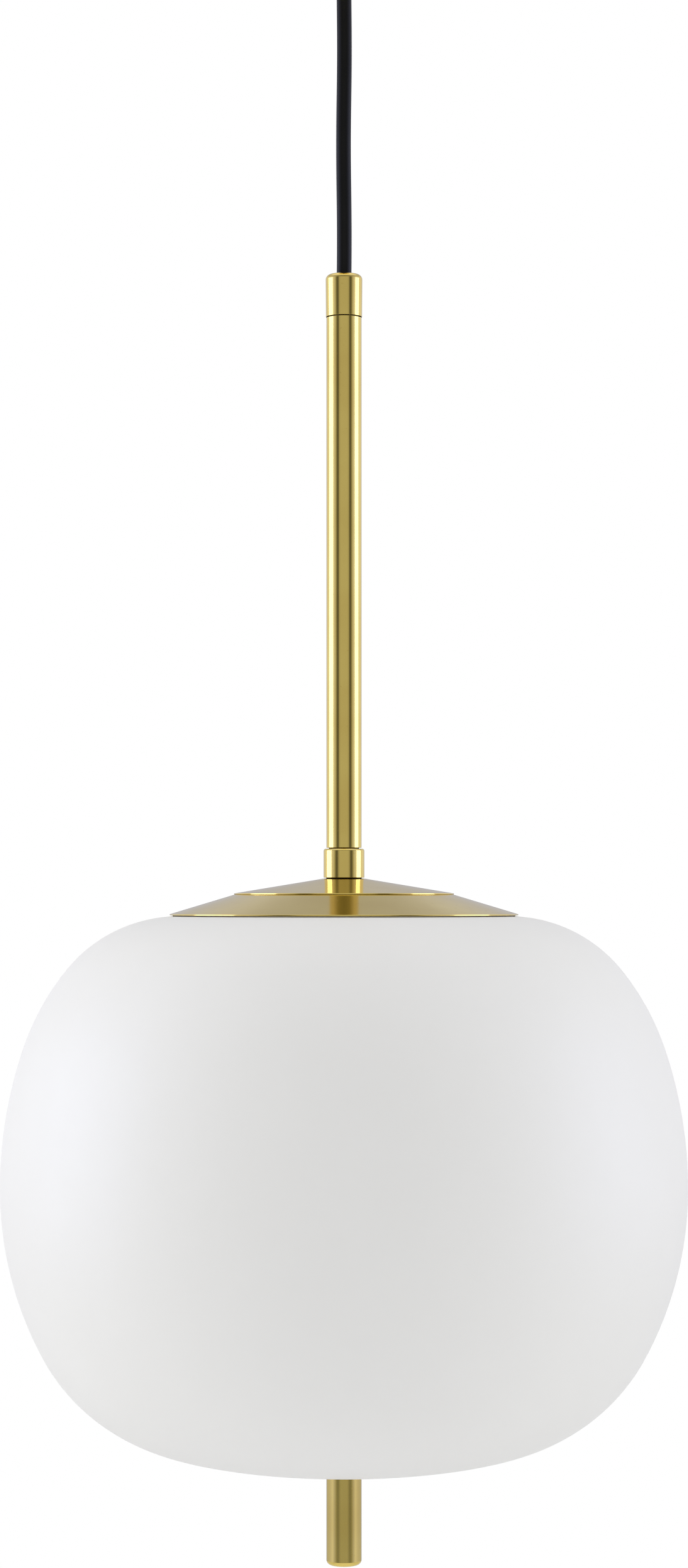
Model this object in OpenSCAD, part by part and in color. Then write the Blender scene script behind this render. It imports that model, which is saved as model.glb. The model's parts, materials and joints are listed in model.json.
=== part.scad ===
// Pendant ceiling light: a canopy cup, a cord, a brass stem with two stepped cover discs,
// a yoke with a bulb holder, and an opal glass shade held up by a screwed pin.
// Millimetres. +Z is up. The origin is the middle of the ceiling bracket's top face.

/* [Ceiling canopy] */
// Outside diameter of the canopy cup
canopy_d = 100; // [98:1:120]
// Height of the canopy cup
canopy_h = 40; // [38:1:60]
// Wall thickness of the canopy cup
canopy_wall = 1.2; // [0.8:0.1:1.6]
// Distance between the middles of the two ceiling screw slots
slot_spacing = 60; // [54:1:66]
// Width of a ceiling screw slot
slot_w = 5; // [4:0.5:6]
// End to end length of a ceiling screw slot
slot_len = 12; // [8:1:16]
// Height of the turned cord grip below the canopy
grip_h = 12; // [10:1:16]
// Diameter of the turned cord grip
grip_d = 14; // [13:0.5:18]

/* [Cord] */
// Diameter of the cord
cord_d = 6.5; // [6:0.1:6.8]
// Free cord between the grip's mouth and the stem cap's mouth
cord_free = 130; // [60:5:1500]

/* [Stem] */
// Diameter of the stem tube
stem_d = 15.4; // [15:0.1:17]
// Wall thickness of the stem tube
stem_wall = 1; // [0.8:0.1:1.2]
// Length of the stem tube
stem_len = 232; // [100:1:500]
// Diameter of the stem cap at its top
cap_d = 16.1; // [15.8:0.1:18]
// Diameter of the stem cap at its foot
cap_foot_d = 15.8; // [15.6:0.1:18]
// Height of the stem cap
cap_h = 19; // [17:0.5:24]
// Rounding of the stem cap's top edge
cap_round = 2.3; // [1:0.1:2.4]
// Diameter of the collar at the foot of the stem
collar_d = 17.9; // [17:0.1:20]
// Height of the collar
collar_h = 13.5; // [10:0.5:18]
// Chamfer of the collar's top edge
collar_chamfer = 0.8; // [0.3:0.1:1.5]

/* [Cover discs] */
// Diameter of the upper cover disc
upper_disc_d = 96.4; // [80:0.2:96.4]
// Height that the upper cover disc stands over the lower one
upper_disc_h = 7.1; // [6:0.1:10]
// Sheet thickness at the upper cover disc's rim
upper_disc_t = 0.8; // [0.6:0.1:1.2]
// Diameter of the lower cover disc
lower_disc_d = 152.6; // [148:0.2:156]
// Diameter of the flat middle of the lower cover disc
lower_flat_d = 96.6; // [96.6:0.2:100]
// Slope of the lower cover disc, in degrees
lower_slope = 16.8; // [14:0.2:18]
// Sheet thickness of the lower cover disc
lower_disc_t = 1.2; // [0.8:0.1:1.4]
// Height of the lower cover disc from its flat middle to its rim's underside
lower_disc_h = 9; // [8.8:0.1:10]

/* [Glass shade] */
// Widest diameter of the glass shade
shade_d = 300; // [298:1:320]
// Wall thickness of the glass shade
glass_wall = 3.5; // [3:0.1:4]
// Diameter of the opening at the shade's top
mouth_d = 116; // [110:1:124]
// Diameter of the hole at the shade's foot
foot_hole_d = 11; // [10.8:0.1:12]
// Thickness of the gasket between the shade and the lower disc
gasket_t = 0.4; // [0.3:0.1:1]

/* [Finial pin] */
// Diameter of the finial pin
pin_d = 15.4; // [13:0.1:18]
// Height of the finial pin
pin_h = 44.7; // [28:0.1:50]
// Rounding of the pin's foot edge
pin_round = 2.2; // [0.5:0.1:3]

/* [Yoke] */
// Distance between the yoke's two rods
yoke_spacing = 84; // [80:1:86]
// Diameter of a yoke rod
rod_d = 6; // [5.5:0.1:7]
// Depth from the lower disc's underside to the yoke's bottom bar
yoke_depth = 230; // [224:1:232]
// Diameter of the stud that carries the finial pin
stud_d = 6; // [5:0.5:6]

/* [Bulb] */
// Diameter of the bulb's round end
bulb_d = 60; // [55:1:70]
// Length of the bulb from its contact to its round end
bulb_len = 105; // [98:1:115]

/* [Hidden] */
$fn = 96;
eps = 0.01;

// Radii
canopy_r = canopy_d / 2;
canopy_in_r = canopy_r - canopy_wall;
canopy_round = 3;
cord_r = cord_d / 2;
cord_bore_r = cord_r + 0.35;
m10_r = 5;
m10_bore_r = 3.9;
m10_nut_af = 17;
stem_r = stem_d / 2;
stem_in_r = stem_r - stem_wall;
seam = 0.25;
collar_r = collar_d / 2;
upper_r = upper_disc_d / 2;
lower_r = lower_disc_d / 2;
flat_r = lower_flat_d / 2;
shade_r = shade_d / 2;
mouth_r = mouth_d / 2;
foot_hole_r = foot_hole_d / 2;
pin_r = pin_d / 2;
rod_r = rod_d / 2;
rod_x = yoke_spacing / 2;
m5_r = 2.5;
m5_nut_af = 8;
stud_r = stud_d / 2;
stud_nut_af = 10;
stud_clear = 0.05;
bulb_r = bulb_d / 2;

// Heights of the canopy
z_floor = -canopy_h;
z_floor_top = z_floor + canopy_wall;
strap_t = 1.2;
z_strap = z_floor_top + strap_t;
washer_t = 1;
z_washer = z_strap + washer_t;
nut_h = 3;
z_nut = z_washer + nut_h;
z_neck = z_nut + 1;
z_grip = z_floor - grip_h;
mouth_depth = 2.2;
z_swing = z_grip + mouth_depth;
grip_mouth_r = cord_r + 1.95;
grip_throat_r = cord_r + 0.7;
grip_edge = 1;
end_gap = 0.35;
z_tail = z_swing + cord_r + end_gap;
z_tail_top = z_neck + 4.6;
grip_screw_z = z_grip + 8;
m3_r = 1.5;
m4_r = 2;
slot_cut = 0.8;

// Bracket and its ears
bracket_w = 20;
bracket_t = 2;
ear_h = 14;
ear_gap = 2.3;
ear_x = canopy_in_r - ear_gap;
cable_hole_r = 5;
side_screw_z = -9;
side_head_r = 3.5;
side_head_h = 2.5;
tip_gap = 0.05;
bracket_screw_x = 14;

// Terminal block and strap
strap_w = 12;
strap_x0 = -31;
strap_x1 = 40;
block_x0 = 20;
block_x1 = 36;
block_w = 25;
block_h = 11;
pole = 8.5;
pole_z = z_strap + 4.6;
insert_r = 1.9;
insert_bore_r = 1.25;
insert_end = 1;
clamp_screw_r = 1.2;
clamp_screw_h = 3.6;
clamp_in = 4;
bare_r = 0.9;
wire_r = 1.1;
earth_x = -26;
block_screw_y = pole / 2;
block_screw_head_r = 1.9;

// Heights of the stem
z_cap = z_grip - cord_free;
tilt_depth = 2;
z_tilt = z_cap - tilt_depth;
cap_mouth_r = cord_r + 1.35;
cap_throat_r = cord_r + 0.65;
z_stem = z_cap - cap_h;
z_cap_thread = z_cap - 10.5;
z_stub = z_tilt - cord_r - end_gap;
z_stub_end = z_stem - 5;
grub_z = z_stub - 2.2;
grub_out_r = cap_d / 2 - 0.5;
insert_len = 12;
z_collar = z_stem - stem_len;
z_upper = z_collar - collar_h;
z_lower = z_upper - upper_disc_h;
z_under = z_lower - lower_disc_t;
z_rim = z_lower - lower_disc_h;
hub_r = 9;
lower_round = 1.1;
rim_inner_r = lower_r - 5.3;

// Yoke
top_bar_t = 2.5;
top_bar_w = 16;
bar_len = yoke_spacing + 10;
z_top_bar = z_under - top_bar_t;
z_lock_washer = z_top_bar - washer_t;
lock_nut_h = 4;
z_lock_nut = z_lock_washer - lock_nut_h;
yoke_nut_h = 4;
z_rod_top = z_top_bar - yoke_nut_h;
bottom_bar_t = 3;
bottom_bar_w = 12;
z_bottom_bar = z_under - yoke_depth;
z_bottom_bar_low = z_bottom_bar - bottom_bar_t;
stud_nut_h = 5;

// Holder, screwed on the lower nipple
z_holder = z_lock_nut - 2.5;
holder_neck_r = 7;
holder_neck_h = 6;
holder_r = 20.5;
holder_skin = 1;
z_shoulder = z_holder - holder_neck_h;
z_nipple_end = z_holder - 10;
z_skirt = z_shoulder - 19;
shell_out_r = holder_r - holder_skin;
shell_in_r = shell_out_r - 0.9;
z_shell_top = z_shoulder - 9;
shell_len = 46;
z_shell = z_shell_top - shell_len;
lip_r = 14.6;
lip_t = 2;
z_insert = z_shell_top - 5;
insert_h = 12;
z_insert_low = z_insert - insert_h;
thread_r = 14.1;
thread_in_r = 13.6;
thread_len = 25;
contact_t = 0.5;
contact_drop = 3;
z_tip = z_insert_low - contact_drop;
terminal_r = 10.5;
terminal_w = 6;
terminal_h = 5;

// Bulb
bulb_cap_r = 13.2;
bulb_neck_r = 13.9;
tip_r = 4.5;
z_bulb_ins = z_tip - 1;
z_bulb_cap = z_bulb_ins - 3.2;
bulb_cap_len = 22;
z_bulb_neck = z_bulb_cap - bulb_cap_len;
z_bulb_low = z_tip - bulb_len;
z_bulb_mid = z_bulb_low + bulb_r;
bulb_wall = 1;
thread_pitch = 3.63;
thread_depth = 0.5;

// Shade outline: three tangent arcs over the widest line, and three under it that end in a flat foot
k = shade_d / 300;
up_r1 = 190 * k;
up_a1 = 18.6;
up_r2 = 112 * k;
up_a2 = 38.5;
up_r3 = 63 * k;
dn_r1 = 154 * k;
dn_a1 = 28.3;
dn_r2 = 83.4 * k;
dn_a2 = 75;
dn_r3 = 171 * k;
up_c1 = [shade_r - up_r1, 0];
up_c2 = up_c1 + (up_r1 - up_r2) * [cos(up_a1), sin(up_a1)];
up_c3 = up_c2 + (up_r2 - up_r3) * [cos(up_a2), sin(up_a2)];
dn_c1 = [shade_r - dn_r1, 0];
dn_c2 = dn_c1 + (dn_r1 - dn_r2) * [cos(dn_a1), -sin(dn_a1)];
dn_c3 = dn_c2 + (dn_r2 - dn_r3) * [cos(dn_a2), -sin(dn_a2)];
shade_top_h = up_c3[1] + up_r3;
seat_depth = dn_r3 - dn_c3[1];
z_glass = z_rim - gasket_t;
z_wide = z_glass - shade_top_h;
z_seat = z_wide - seat_depth;
seal_t = 1;
seal_r = 7.3;
seal_bore_r = stud_r + 0.3;
z_pin = z_seat - seal_t;
z_pin_low = z_pin - pin_h;
pin_bore_r = stud_r + stud_clear;
pin_bore_depth = 21;
z_stud_low = z_pin - 18.5;

function arc(c, r, a0, a1, n) = [
  for (i = [0:n])
    let (a = a0 + (a1 - a0) * i / n)
      c + r * [cos(a), sin(a)]
];
function tail(list, from) = [for (i = [from:len(list) - 1]) list[i]];
function bez(a, b, c, d, n) = [
  for (i = [0:n])
    let (t = i / n, s = 1 - t)
      s * s * s * a + 3 * s * s * t * b + 3 * s * t * t * c + t * t * t * d
];
function unit(v) = v / norm(v);
function heading(p, i) =
  i == 0 ? unit(p[1] - p[0]) : i == len(p) - 1 ? unit(p[i] - p[i - 1]) : unit(p[i + 1] - p[i - 1]);
function ring(p, i, r, side, n) =
  let (t = heading(p, i), u = unit(cross(t, side)), v = cross(t, u))
    [for (j = [0:n - 1]) p[i] + r * cos(360 * j / n) * u + r * sin(360 * j / n) * v];

wire_sides = 10;

// A round wire along a route; side is any direction that the route never runs along
module sweep(p, r, side) {
  n = wire_sides;
  last = len(p) - 1;
  points = [for (i = [0:last]) each ring(p, i, r, side, n)];
  first_cap = [[for (j = [0:n - 1]) j]];
  last_cap = [[for (j = [0:n - 1]) last * n + n - 1 - j]];
  low = [for (i = [0:last - 1], j = [0:n - 1]) [i * n + j, (i + 1) * n + j, (i + 1) * n + (j + 1) % n]];
  high = [for (i = [0:last - 1], j = [0:n - 1]) [i * n + j, (i + 1) * n + (j + 1) % n, i * n + (j + 1) % n]];
  polyhedron(points = points, faces = concat(first_cap, last_cap, low, high), convexity = 4);
}

module tube(z0, z1, r_out, r_in) {
  translate([0, 0, z0])
    difference() {
      cylinder(h = z1 - z0, r = r_out);
      translate([0, 0, -eps])
        cylinder(h = z1 - z0 + 2 * eps, r = r_in);
    }
}

module rod(z0, z1, r) {
  translate([0, 0, z0])
    cylinder(h = z1 - z0, r = r);
}

module hex_nut(z0, z1, across, r_in) {
  translate([0, 0, z0])
    difference() {
      cylinder(h = z1 - z0, d = across / cos(30), $fn = 6);
      translate([0, 0, -eps])
        cylinder(h = z1 - z0 + 2 * eps, r = r_in);
    }
}

module across_y(y0, y1, z, r) {
  translate([0, y0, z])
    rotate([-90, 0, 0])
      cylinder(h = y1 - y0, r = r);
}

module across_x(x0, x1, y, z, r) {
  translate([x0, y, z])
    rotate([0, 90, 0])
      cylinder(h = x1 - x0, r = r);
}

module box(x0, x1, y0, y1, z0, z1) {
  translate([x0, y0, z0])
    cube([x1 - x0, y1 - y0, z1 - z0]);
}

// ---- Fixed to the ceiling ----
module ceiling_slot(x) {
  half = (slot_len - slot_w) / 2;
  box(x - half, x + half, -slot_w / 2, slot_w / 2, -bracket_t - eps, eps);
  for (dx = [-half, half])
    translate([x + dx, 0, -bracket_t - eps])
      cylinder(h = bracket_t + 2 * eps, d = slot_w);
}

module ceiling_bracket() {
  color("LightSteelBlue")
    difference() {
      union() {
        box(-ear_x, ear_x, -bracket_w / 2, bracket_w / 2, -bracket_t, 0);
        box(-ear_x, -ear_x + bracket_t, -bracket_w / 2, bracket_w / 2, -bracket_t - ear_h, -bracket_t + eps);
        box(ear_x - bracket_t, ear_x, -bracket_w / 2, bracket_w / 2, -bracket_t - ear_h, -bracket_t + eps);
      }
      ceiling_slot(-slot_spacing / 2);
      ceiling_slot(slot_spacing / 2);
      translate([0, 0, -bracket_t - eps])
        cylinder(h = bracket_t + 2 * eps, r = cable_hole_r);
      translate([bracket_screw_x, 0, -bracket_t - eps])
        cylinder(h = bracket_t + 2 * eps, r = m4_r);
    }
}

module earth_screw(z_seat_face, down, reach) {
  head = 2.4;
  way = down ? -1 : 1;
  translate([0, 0, z_seat_face])
    mirror([0, 0, down ? 1 : 0])
      difference() {
        union() {
          cylinder(h = head, r = side_head_r);
          translate([0, 0, -reach])
            cylinder(h = reach + eps, r = m4_r);
        }
        translate([-side_head_r - eps, -slot_cut / 2, head - 1])
          cube([2 * side_head_r + 2 * eps, slot_cut, 1 + eps]);
      }
}

module bracket_earth_screw() {
  color("Goldenrod")
    translate([bracket_screw_x, 0, 0])
      earth_screw(-bracket_t, true, bracket_t);
}

// ---- Canopy ----
module canopy_cup() {
  outer = arc([canopy_r - canopy_round, z_floor + canopy_round], canopy_round, 0, -90, 8);
  neck = [[m10_r, z_floor], [m10_r, z_floor_top]];
  inner = arc([canopy_r - canopy_round, z_floor + canopy_round], canopy_round - canopy_wall, -90, 0, 8);
  color("Goldenrod")
    difference() {
      rotate_extrude()
        polygon(concat([[canopy_r, 0]], outer, neck, inner, [[canopy_in_r, 0]]));
      across_x(-canopy_r - eps, canopy_r + eps, 0, side_screw_z, m4_r);
    }
}

module canopy_screw() {
  difference() {
    union() {
      across_x(ear_x + tip_gap, canopy_r + eps, 0, side_screw_z, m4_r);
      across_x(canopy_r, canopy_r + side_head_h, 0, side_screw_z, side_head_r);
    }
    box(canopy_r + side_head_h - 1, canopy_r + side_head_h + eps, -slot_cut / 2, slot_cut / 2,
      side_screw_z - side_head_r - eps, side_screw_z + side_head_r + eps);
  }
}

module canopy_screws() {
  color("Gold") {
    canopy_screw();
    mirror([1, 0, 0])
      canopy_screw();
  }
}

module cord_grip() {
  grip_r = grip_d / 2;
  color("Goldenrod")
    difference() {
      rotate_extrude()
        polygon([
          [grip_mouth_r, z_grip], [grip_r - grip_edge, z_grip], [grip_r, z_grip + grip_edge],
          [grip_r, z_floor], [m10_r, z_floor], [m10_r, z_neck], [cord_bore_r, z_neck],
          [cord_bore_r, z_swing], [grip_throat_r, z_swing]
        ]);
      across_y(0, grip_r + eps, grip_screw_z, m3_r);
    }
}

module grub(y0, y1, z) {
  difference() {
    across_y(y0, y1, z, m3_r);
    box(-slot_cut / 2, slot_cut / 2, y1 - 1, y1 + eps, z - m3_r - eps, z + m3_r + eps);
  }
}

module grip_screw() {
  color("DimGray")
    grub(cord_r, grip_d / 2 - 0.3, grip_screw_z);
}

module grip_washer() {
  color("Silver")
    tube(z_strap, z_washer, hub_r, m10_r);
}

module grip_nut() {
  color("Silver")
    hex_nut(z_washer, z_nut, m10_nut_af, m10_r);
}

module terminal_strap() {
  color("LightSteelBlue")
    difference() {
      box(strap_x0, strap_x1, -strap_w / 2, strap_w / 2, z_floor_top, z_strap);
      rod(z_floor_top - eps, z_strap + eps, m10_r);
      translate([earth_x, 0, 0])
        rod(z_floor_top - eps, z_strap + eps, m4_r);
      translate([(block_x0 + block_x1) / 2, block_screw_y, 0])
        rod(z_floor_top - eps, z_strap + eps, m3_r);
    }
}

module clamp_wells(r, z0, z1) {
  for (y = [-pole, 0, pole], x = [block_x0 + clamp_in, block_x1 - clamp_in])
    translate([x, y, 0])
      rod(z0, z1, r);
}

module terminal_block() {
  z_top = z_strap + block_h;
  groove = 0.8;
  color("White")
    difference() {
      box(block_x0, block_x1, -block_w / 2, block_w / 2, z_strap, z_top);
      for (y = [-pole, 0, pole])
        across_x(block_x0 - eps, block_x1 + eps, y, pole_z, insert_r);
      clamp_wells(insert_r, pole_z, z_top + eps);
      for (y = [-pole / 2, pole / 2]) {
        box(block_x0 - eps, block_x1 + eps, y - groove / 2, y + groove / 2, z_top - 3, z_top + eps);
        translate([(block_x0 + block_x1) / 2, y, 0])
          rod(z_strap - eps, z_top + eps, m3_r);
        translate([(block_x0 + block_x1) / 2, y, 0])
          rod(z_top - 3, z_top + eps, block_screw_head_r);
      }
    }
}

module terminal_inserts() {
  color("Gold")
    difference() {
      for (y = [-pole, 0, pole])
        across_x(block_x0 + insert_end, block_x1 - insert_end, y, pole_z, insert_r);
      for (y = [-pole, 0, pole])
        across_x(block_x0 + insert_end - eps, block_x1 - insert_end + eps, y, pole_z, insert_bore_r);
      clamp_wells(clamp_screw_r, pole_z, pole_z + insert_r + eps);
    }
}

module terminal_screws() {
  z0 = pole_z + bare_r;
  color("Silver")
    difference() {
      clamp_wells(clamp_screw_r, z0, z0 + clamp_screw_h);
      for (y = [-pole, 0, pole])
        box(block_x0, block_x1, y - 0.3, y + 0.3, z0 + clamp_screw_h - 0.7, z0 + clamp_screw_h + eps);
    }
}

module block_screw() {
  z_head = z_strap + block_h - 3;
  color("Silver")
    translate([(block_x0 + block_x1) / 2, block_screw_y, 0])
      difference() {
        union() {
          rod(z_floor_top, z_head + eps, m3_r);
          rod(z_head, z_head + 2, block_screw_head_r);
        }
        box(-block_screw_head_r, block_screw_head_r, -0.4, 0.4, z_head + 1.2, z_head + 2 + eps);
      }
}

lug_t = 0.8;
lug_r = 3.9;
lug_z = z_strap + 1.9;
lug_barrel_x0 = earth_x + lug_r - 0.6;
lug_barrel_x1 = earth_x + 9;

module strap_earth_screw() {
  color("Gold")
    translate([earth_x, 0, 0])
      earth_screw(z_strap + lug_t, false, lug_t + strap_t);
}

module earth_lug() {
  color("Silver")
    difference() {
      union() {
        translate([earth_x, 0, 0])
          rod(z_strap, z_strap + lug_t, lug_r);
        box(earth_x, lug_barrel_x1, -1.5, 1.5, z_strap, z_strap + lug_t);
        across_x(lug_barrel_x0 + 1.2, lug_barrel_x1, 0, lug_z, 1.8);
      }
      translate([earth_x, 0, 0])
        rod(z_strap - eps, z_strap + lug_t + eps, m4_r);
      across_x(lug_barrel_x0 + 2.5, lug_barrel_x1 + eps, 0, lug_z, wire_r);
    }
}

module cord_tail() {
  color("DimGray")
    rod(z_tail, z_tail_top, cord_r);
}

core_r = 1.7;
core_dx = 0.95;
core_dy = 1.5;

function pole_route(s) =
  let (
    a = [core_dx, s * core_dy, z_tail_top],
    b = [block_x0 - 4, s * pole, pole_z]
  )
  concat(
    bez(a, a + [0, 0, 9], b + [-13, 0, 0], b, 16),
    [b + [4, 0, 0], b + [4 + insert_end, 0, 0], b + [12, 0, 0]]
  );

module canopy_live_wire() {
  color("SaddleBrown")
    sweep(pole_route(1), bare_r, [0, 1, 0]);
}

module canopy_neutral_wire() {
  color("SteelBlue")
    sweep(pole_route(-1), bare_r, [0, 1, 0]);
}

module canopy_earth_wire() {
  a = [-core_r, 0, z_tail_top];
  b = [lug_barrel_x1 + 1.5, 0, lug_z];
  color("YellowGreen")
    sweep(
      concat(bez(a, a + [0, 0, 9], b + [9, 0, 6], b, 16), [b + [-1.5, 0, 0], b + [-3.6, 0, 0]]),
      bare_r, [0, 1, 0]
    );
}

// ---- Cord ----
module cord() {
  color("DimGray")
    union() {
      rod(z_tilt, z_swing, cord_r);
      translate([0, 0, z_swing])
        sphere(r = cord_r);
      translate([0, 0, z_tilt])
        sphere(r = cord_r);
    }
}

// ---- Stem ----
module stem_cap() {
  r = cap_d / 2;
  foot_r = cap_foot_d / 2;
  color("Goldenrod")
    difference() {
      rotate_extrude()
        polygon(concat(
          [[cap_throat_r, z_tilt], [cap_mouth_r, z_cap]],
          arc([r - cap_round, z_cap - cap_round], cap_round, 90, 0, 8),
          [[foot_r, z_stem + seam], [foot_r - seam, z_stem], [m10_r, z_stem]],
          [[m10_r, z_cap_thread], [cord_bore_r, z_cap_thread], [cord_bore_r, z_tilt]]
        ));
      across_y(0, r + eps, grub_z, m3_r);
    }
}

module cap_grub_screw() {
  color("DimGray")
    grub(cord_r, grub_out_r, grub_z);
}

module cord_stub() {
  color("DimGray")
    rod(z_stub_end, z_stub, cord_r);
}

module top_nipple() {
  color("Silver")
    tube(z_stem - insert_len + 0.5, z_cap_thread, m10_r, m10_bore_r);
}

module stem_top_insert() {
  color("Peru")
    tube(z_stem - insert_len, z_stem, stem_in_r, m10_r);
}

module stem_tube() {
  color("Goldenrod")
    rotate_extrude()
      polygon([
        [stem_in_r, z_collar], [stem_r - seam, z_collar], [stem_r, z_collar + seam],
        [stem_r, z_stem - seam], [stem_r - seam, z_stem], [stem_in_r, z_stem]
      ]);
}

module stem_bottom_insert() {
  color("Peru")
    tube(z_collar, z_collar + insert_len, stem_in_r, m10_r);
}

module collar() {
  color("Goldenrod")
    rotate_extrude()
      polygon([
        [m10_r, z_upper], [collar_r - seam, z_upper], [collar_r, z_upper + seam],
        [collar_r, z_collar - collar_chamfer], [collar_r - collar_chamfer / 2, z_collar], [m10_r, z_collar]
      ]);
}

module lower_nipple() {
  color("Silver")
    tube(z_nipple_end, z_collar + insert_len - 2, m10_r, m10_bore_r);
}

module upper_disc() {
  t = upper_disc_t;
  hub_t = 1;
  color("Gold")
    rotate_extrude()
      polygon(concat(
        [[m10_r, z_upper], [hub_r, z_upper]],
        [[upper_r - 0.3, z_lower + t], [upper_r, z_lower + t - 0.25], [upper_r, z_lower + 0.15]],
        [[upper_r - 0.2, z_lower], [upper_r - 3, z_lower]],
        [[hub_r + 0.5, z_upper - hub_t], [m10_r, z_upper - hub_t]]
      ));
}

module disc_spacer() {
  color("Silver")
    tube(z_lower, z_upper - 1, hub_r, m10_r);
}

module lower_disc() {
  fall = tan(lower_slope);
  edge_r = lower_r - lower_round;
  z_edge = z_lower - (edge_r - flat_r) * fall;
  low_c = [lower_r - lower_round, max(z_rim + lower_round * 0.6, z_edge - lower_round)];
  skin = lower_disc_t / cos(lower_slope);
  color("Gold")
    rotate_extrude()
      polygon(concat(
        [[m10_r, z_lower], [flat_r, z_lower]],
        arc(low_c, lower_round, 90 - lower_slope, -20, 7),
        [[lower_r - lower_round * 0.5, z_rim], [rim_inner_r, z_rim]],
        [[rim_inner_r - 0.8, z_lower - (rim_inner_r - 0.8 - flat_r) * fall - skin]],
        [[flat_r, z_lower - skin], [flat_r - 0.5, z_under], [m10_r, z_under]]
      ));
}

// ---- Yoke ----
module yoke_top_bar() {
  color("LightSteelBlue")
    difference() {
      box(-bar_len / 2, bar_len / 2, -top_bar_w / 2, top_bar_w / 2, z_top_bar, z_under);
      rod(z_top_bar - eps, z_under + eps, m10_r);
      for (x = [-rod_x, rod_x])
        translate([x, 0, 0])
          rod(z_top_bar - eps, z_under + eps, m5_r);
    }
}

module lock_washer() {
  color("Silver")
    tube(z_lock_washer, z_top_bar, hub_r, m10_r);
}

module lock_nut() {
  color("Silver")
    hex_nut(z_lock_nut, z_lock_washer, m10_nut_af, m10_r);
}

module yoke_rod() {
  rod(z_top_bar, z_under, m5_r);
  rod(z_rod_top, z_top_bar, m5_r);
  rod(z_bottom_bar, z_rod_top, rod_r);
  rod(z_bottom_bar_low - yoke_nut_h - 1, z_bottom_bar, m5_r);
}

module yoke_rod_left() {
  color("Silver")
    translate([-rod_x, 0, 0])
      yoke_rod();
}

module yoke_rod_right() {
  color("Silver")
    translate([rod_x, 0, 0])
      yoke_rod();
}

module yoke_nuts() {
  color("Gray")
    for (x = [-rod_x, rod_x])
      translate([x, 0, 0]) {
        hex_nut(z_rod_top, z_top_bar, m5_nut_af, m5_r);
        hex_nut(z_bottom_bar_low - yoke_nut_h, z_bottom_bar_low, m5_nut_af, m5_r);
      }
}

module yoke_bottom_bar() {
  color("LightSteelBlue")
    difference() {
      box(-bar_len / 2, bar_len / 2, -bottom_bar_w / 2, bottom_bar_w / 2, z_bottom_bar_low, z_bottom_bar);
      rod(z_bottom_bar_low - eps, z_bottom_bar + eps, stud_r);
      for (x = [-rod_x, rod_x])
        translate([x, 0, 0])
          rod(z_bottom_bar_low - eps, z_bottom_bar + eps, m5_r);
    }
}

module finial_stud() {
  color("Silver")
    rod(z_stud_low, z_bottom_bar + stud_nut_h + 1, stud_r);
}

module stud_nuts() {
  color("Gray") {
    hex_nut(z_bottom_bar, z_bottom_bar + stud_nut_h, stud_nut_af, stud_r);
    hex_nut(z_bottom_bar_low - stud_nut_h, z_bottom_bar_low, stud_nut_af, stud_r);
  }
}

// ---- Holder ----
module holder_cap() {
  s = holder_skin;
  z = z_shoulder;
  shoulder = [[holder_neck_r, z], [15, z - 0.8], [18.4, z - 2.6], [20.1, z - 5.6]];
  skirt = [[holder_r, z - 8], [holder_r, z_skirt], [shell_out_r, z_skirt], [shell_out_r, z - 8]];
  inside = [[20.1 - s, z - 6], [17.8, z - 3.4], [14.8, z - 1.9], [m10_r, z - s]];
  color("Goldenrod")
    rotate_extrude()
      polygon(concat(
        [[m10_r, z_holder], [holder_neck_r - 0.4, z_holder], [holder_neck_r, z_holder - 0.4]],
        shoulder,
        skirt,
        inside
      ));
}

module holder_insert() {
  color("Ivory")
    difference() {
      rod(z_insert_low, z_insert, shell_in_r);
      rod(z_insert_low - eps, z_insert_low + 2, m3_r);
    }
}

module holder_shell() {
  color("Goldenrod")
    rotate_extrude()
      polygon([
        [shell_in_r, z_shell_top], [shell_out_r, z_shell_top], [shell_out_r, z_shell + 1],
        [shell_out_r - 1, z_shell], [lip_r, z_shell], [lip_r, z_shell + lip_t],
        [shell_in_r, z_shell + lip_t]
      ]);
}

module holder_thread() {
  color("Gold")
    tube(z_insert_low - thread_len, z_insert_low, thread_r, thread_in_r);
}

module holder_contact() {
  color("Gold")
    union() {
      rod(z_tip, z_insert_low + 2, m3_r);
      box(-7, 7, -2.5, 2.5, z_tip, z_tip + contact_t);
    }
}

module terminal_at(a) {
  rotate([0, 0, a])
    translate([terminal_r, 0, z_insert]) {
      translate([-terminal_w / 2, -terminal_w / 2, 0])
        cube([terminal_w, terminal_w, terminal_h]);
      translate([terminal_w / 2 - eps, 0, terminal_h / 2])
        rotate([0, 90, 0])
          cylinder(h = 1.6, r = m3_r);
    }
}

module holder_terminals() {
  color("Gold") {
    terminal_at(0);
    terminal_at(180);
    terminal_at(90);
  }
}

function lamp_route(a) =
  let (
    c = [cos(a), sin(a), 0],
    top = core_r * c + [0, 0, z_stub_end],
    mid = core_r * c + [0, 0, z_nipple_end - 0.5],
    foot = terminal_r * c + [0, 0, z_insert + terminal_h]
  )
  concat(
    [top, top + [0, 0, -60], top + [0, 0, -140], top + [0, 0, -200]],
    bez(mid, mid + [0, 0, -5.5], foot + [0, 0, 7], foot, 12)
  );

module lamp_live_wire() {
  color("SaddleBrown")
    sweep(lamp_route(0), wire_r, [0, 1, 0]);
}

module lamp_neutral_wire() {
  color("SteelBlue")
    sweep(lamp_route(180), wire_r, [0, 1, 0]);
}

module lamp_earth_wire() {
  color("YellowGreen")
    sweep(lamp_route(90), wire_r, [1, 0, 0]);
}

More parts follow.
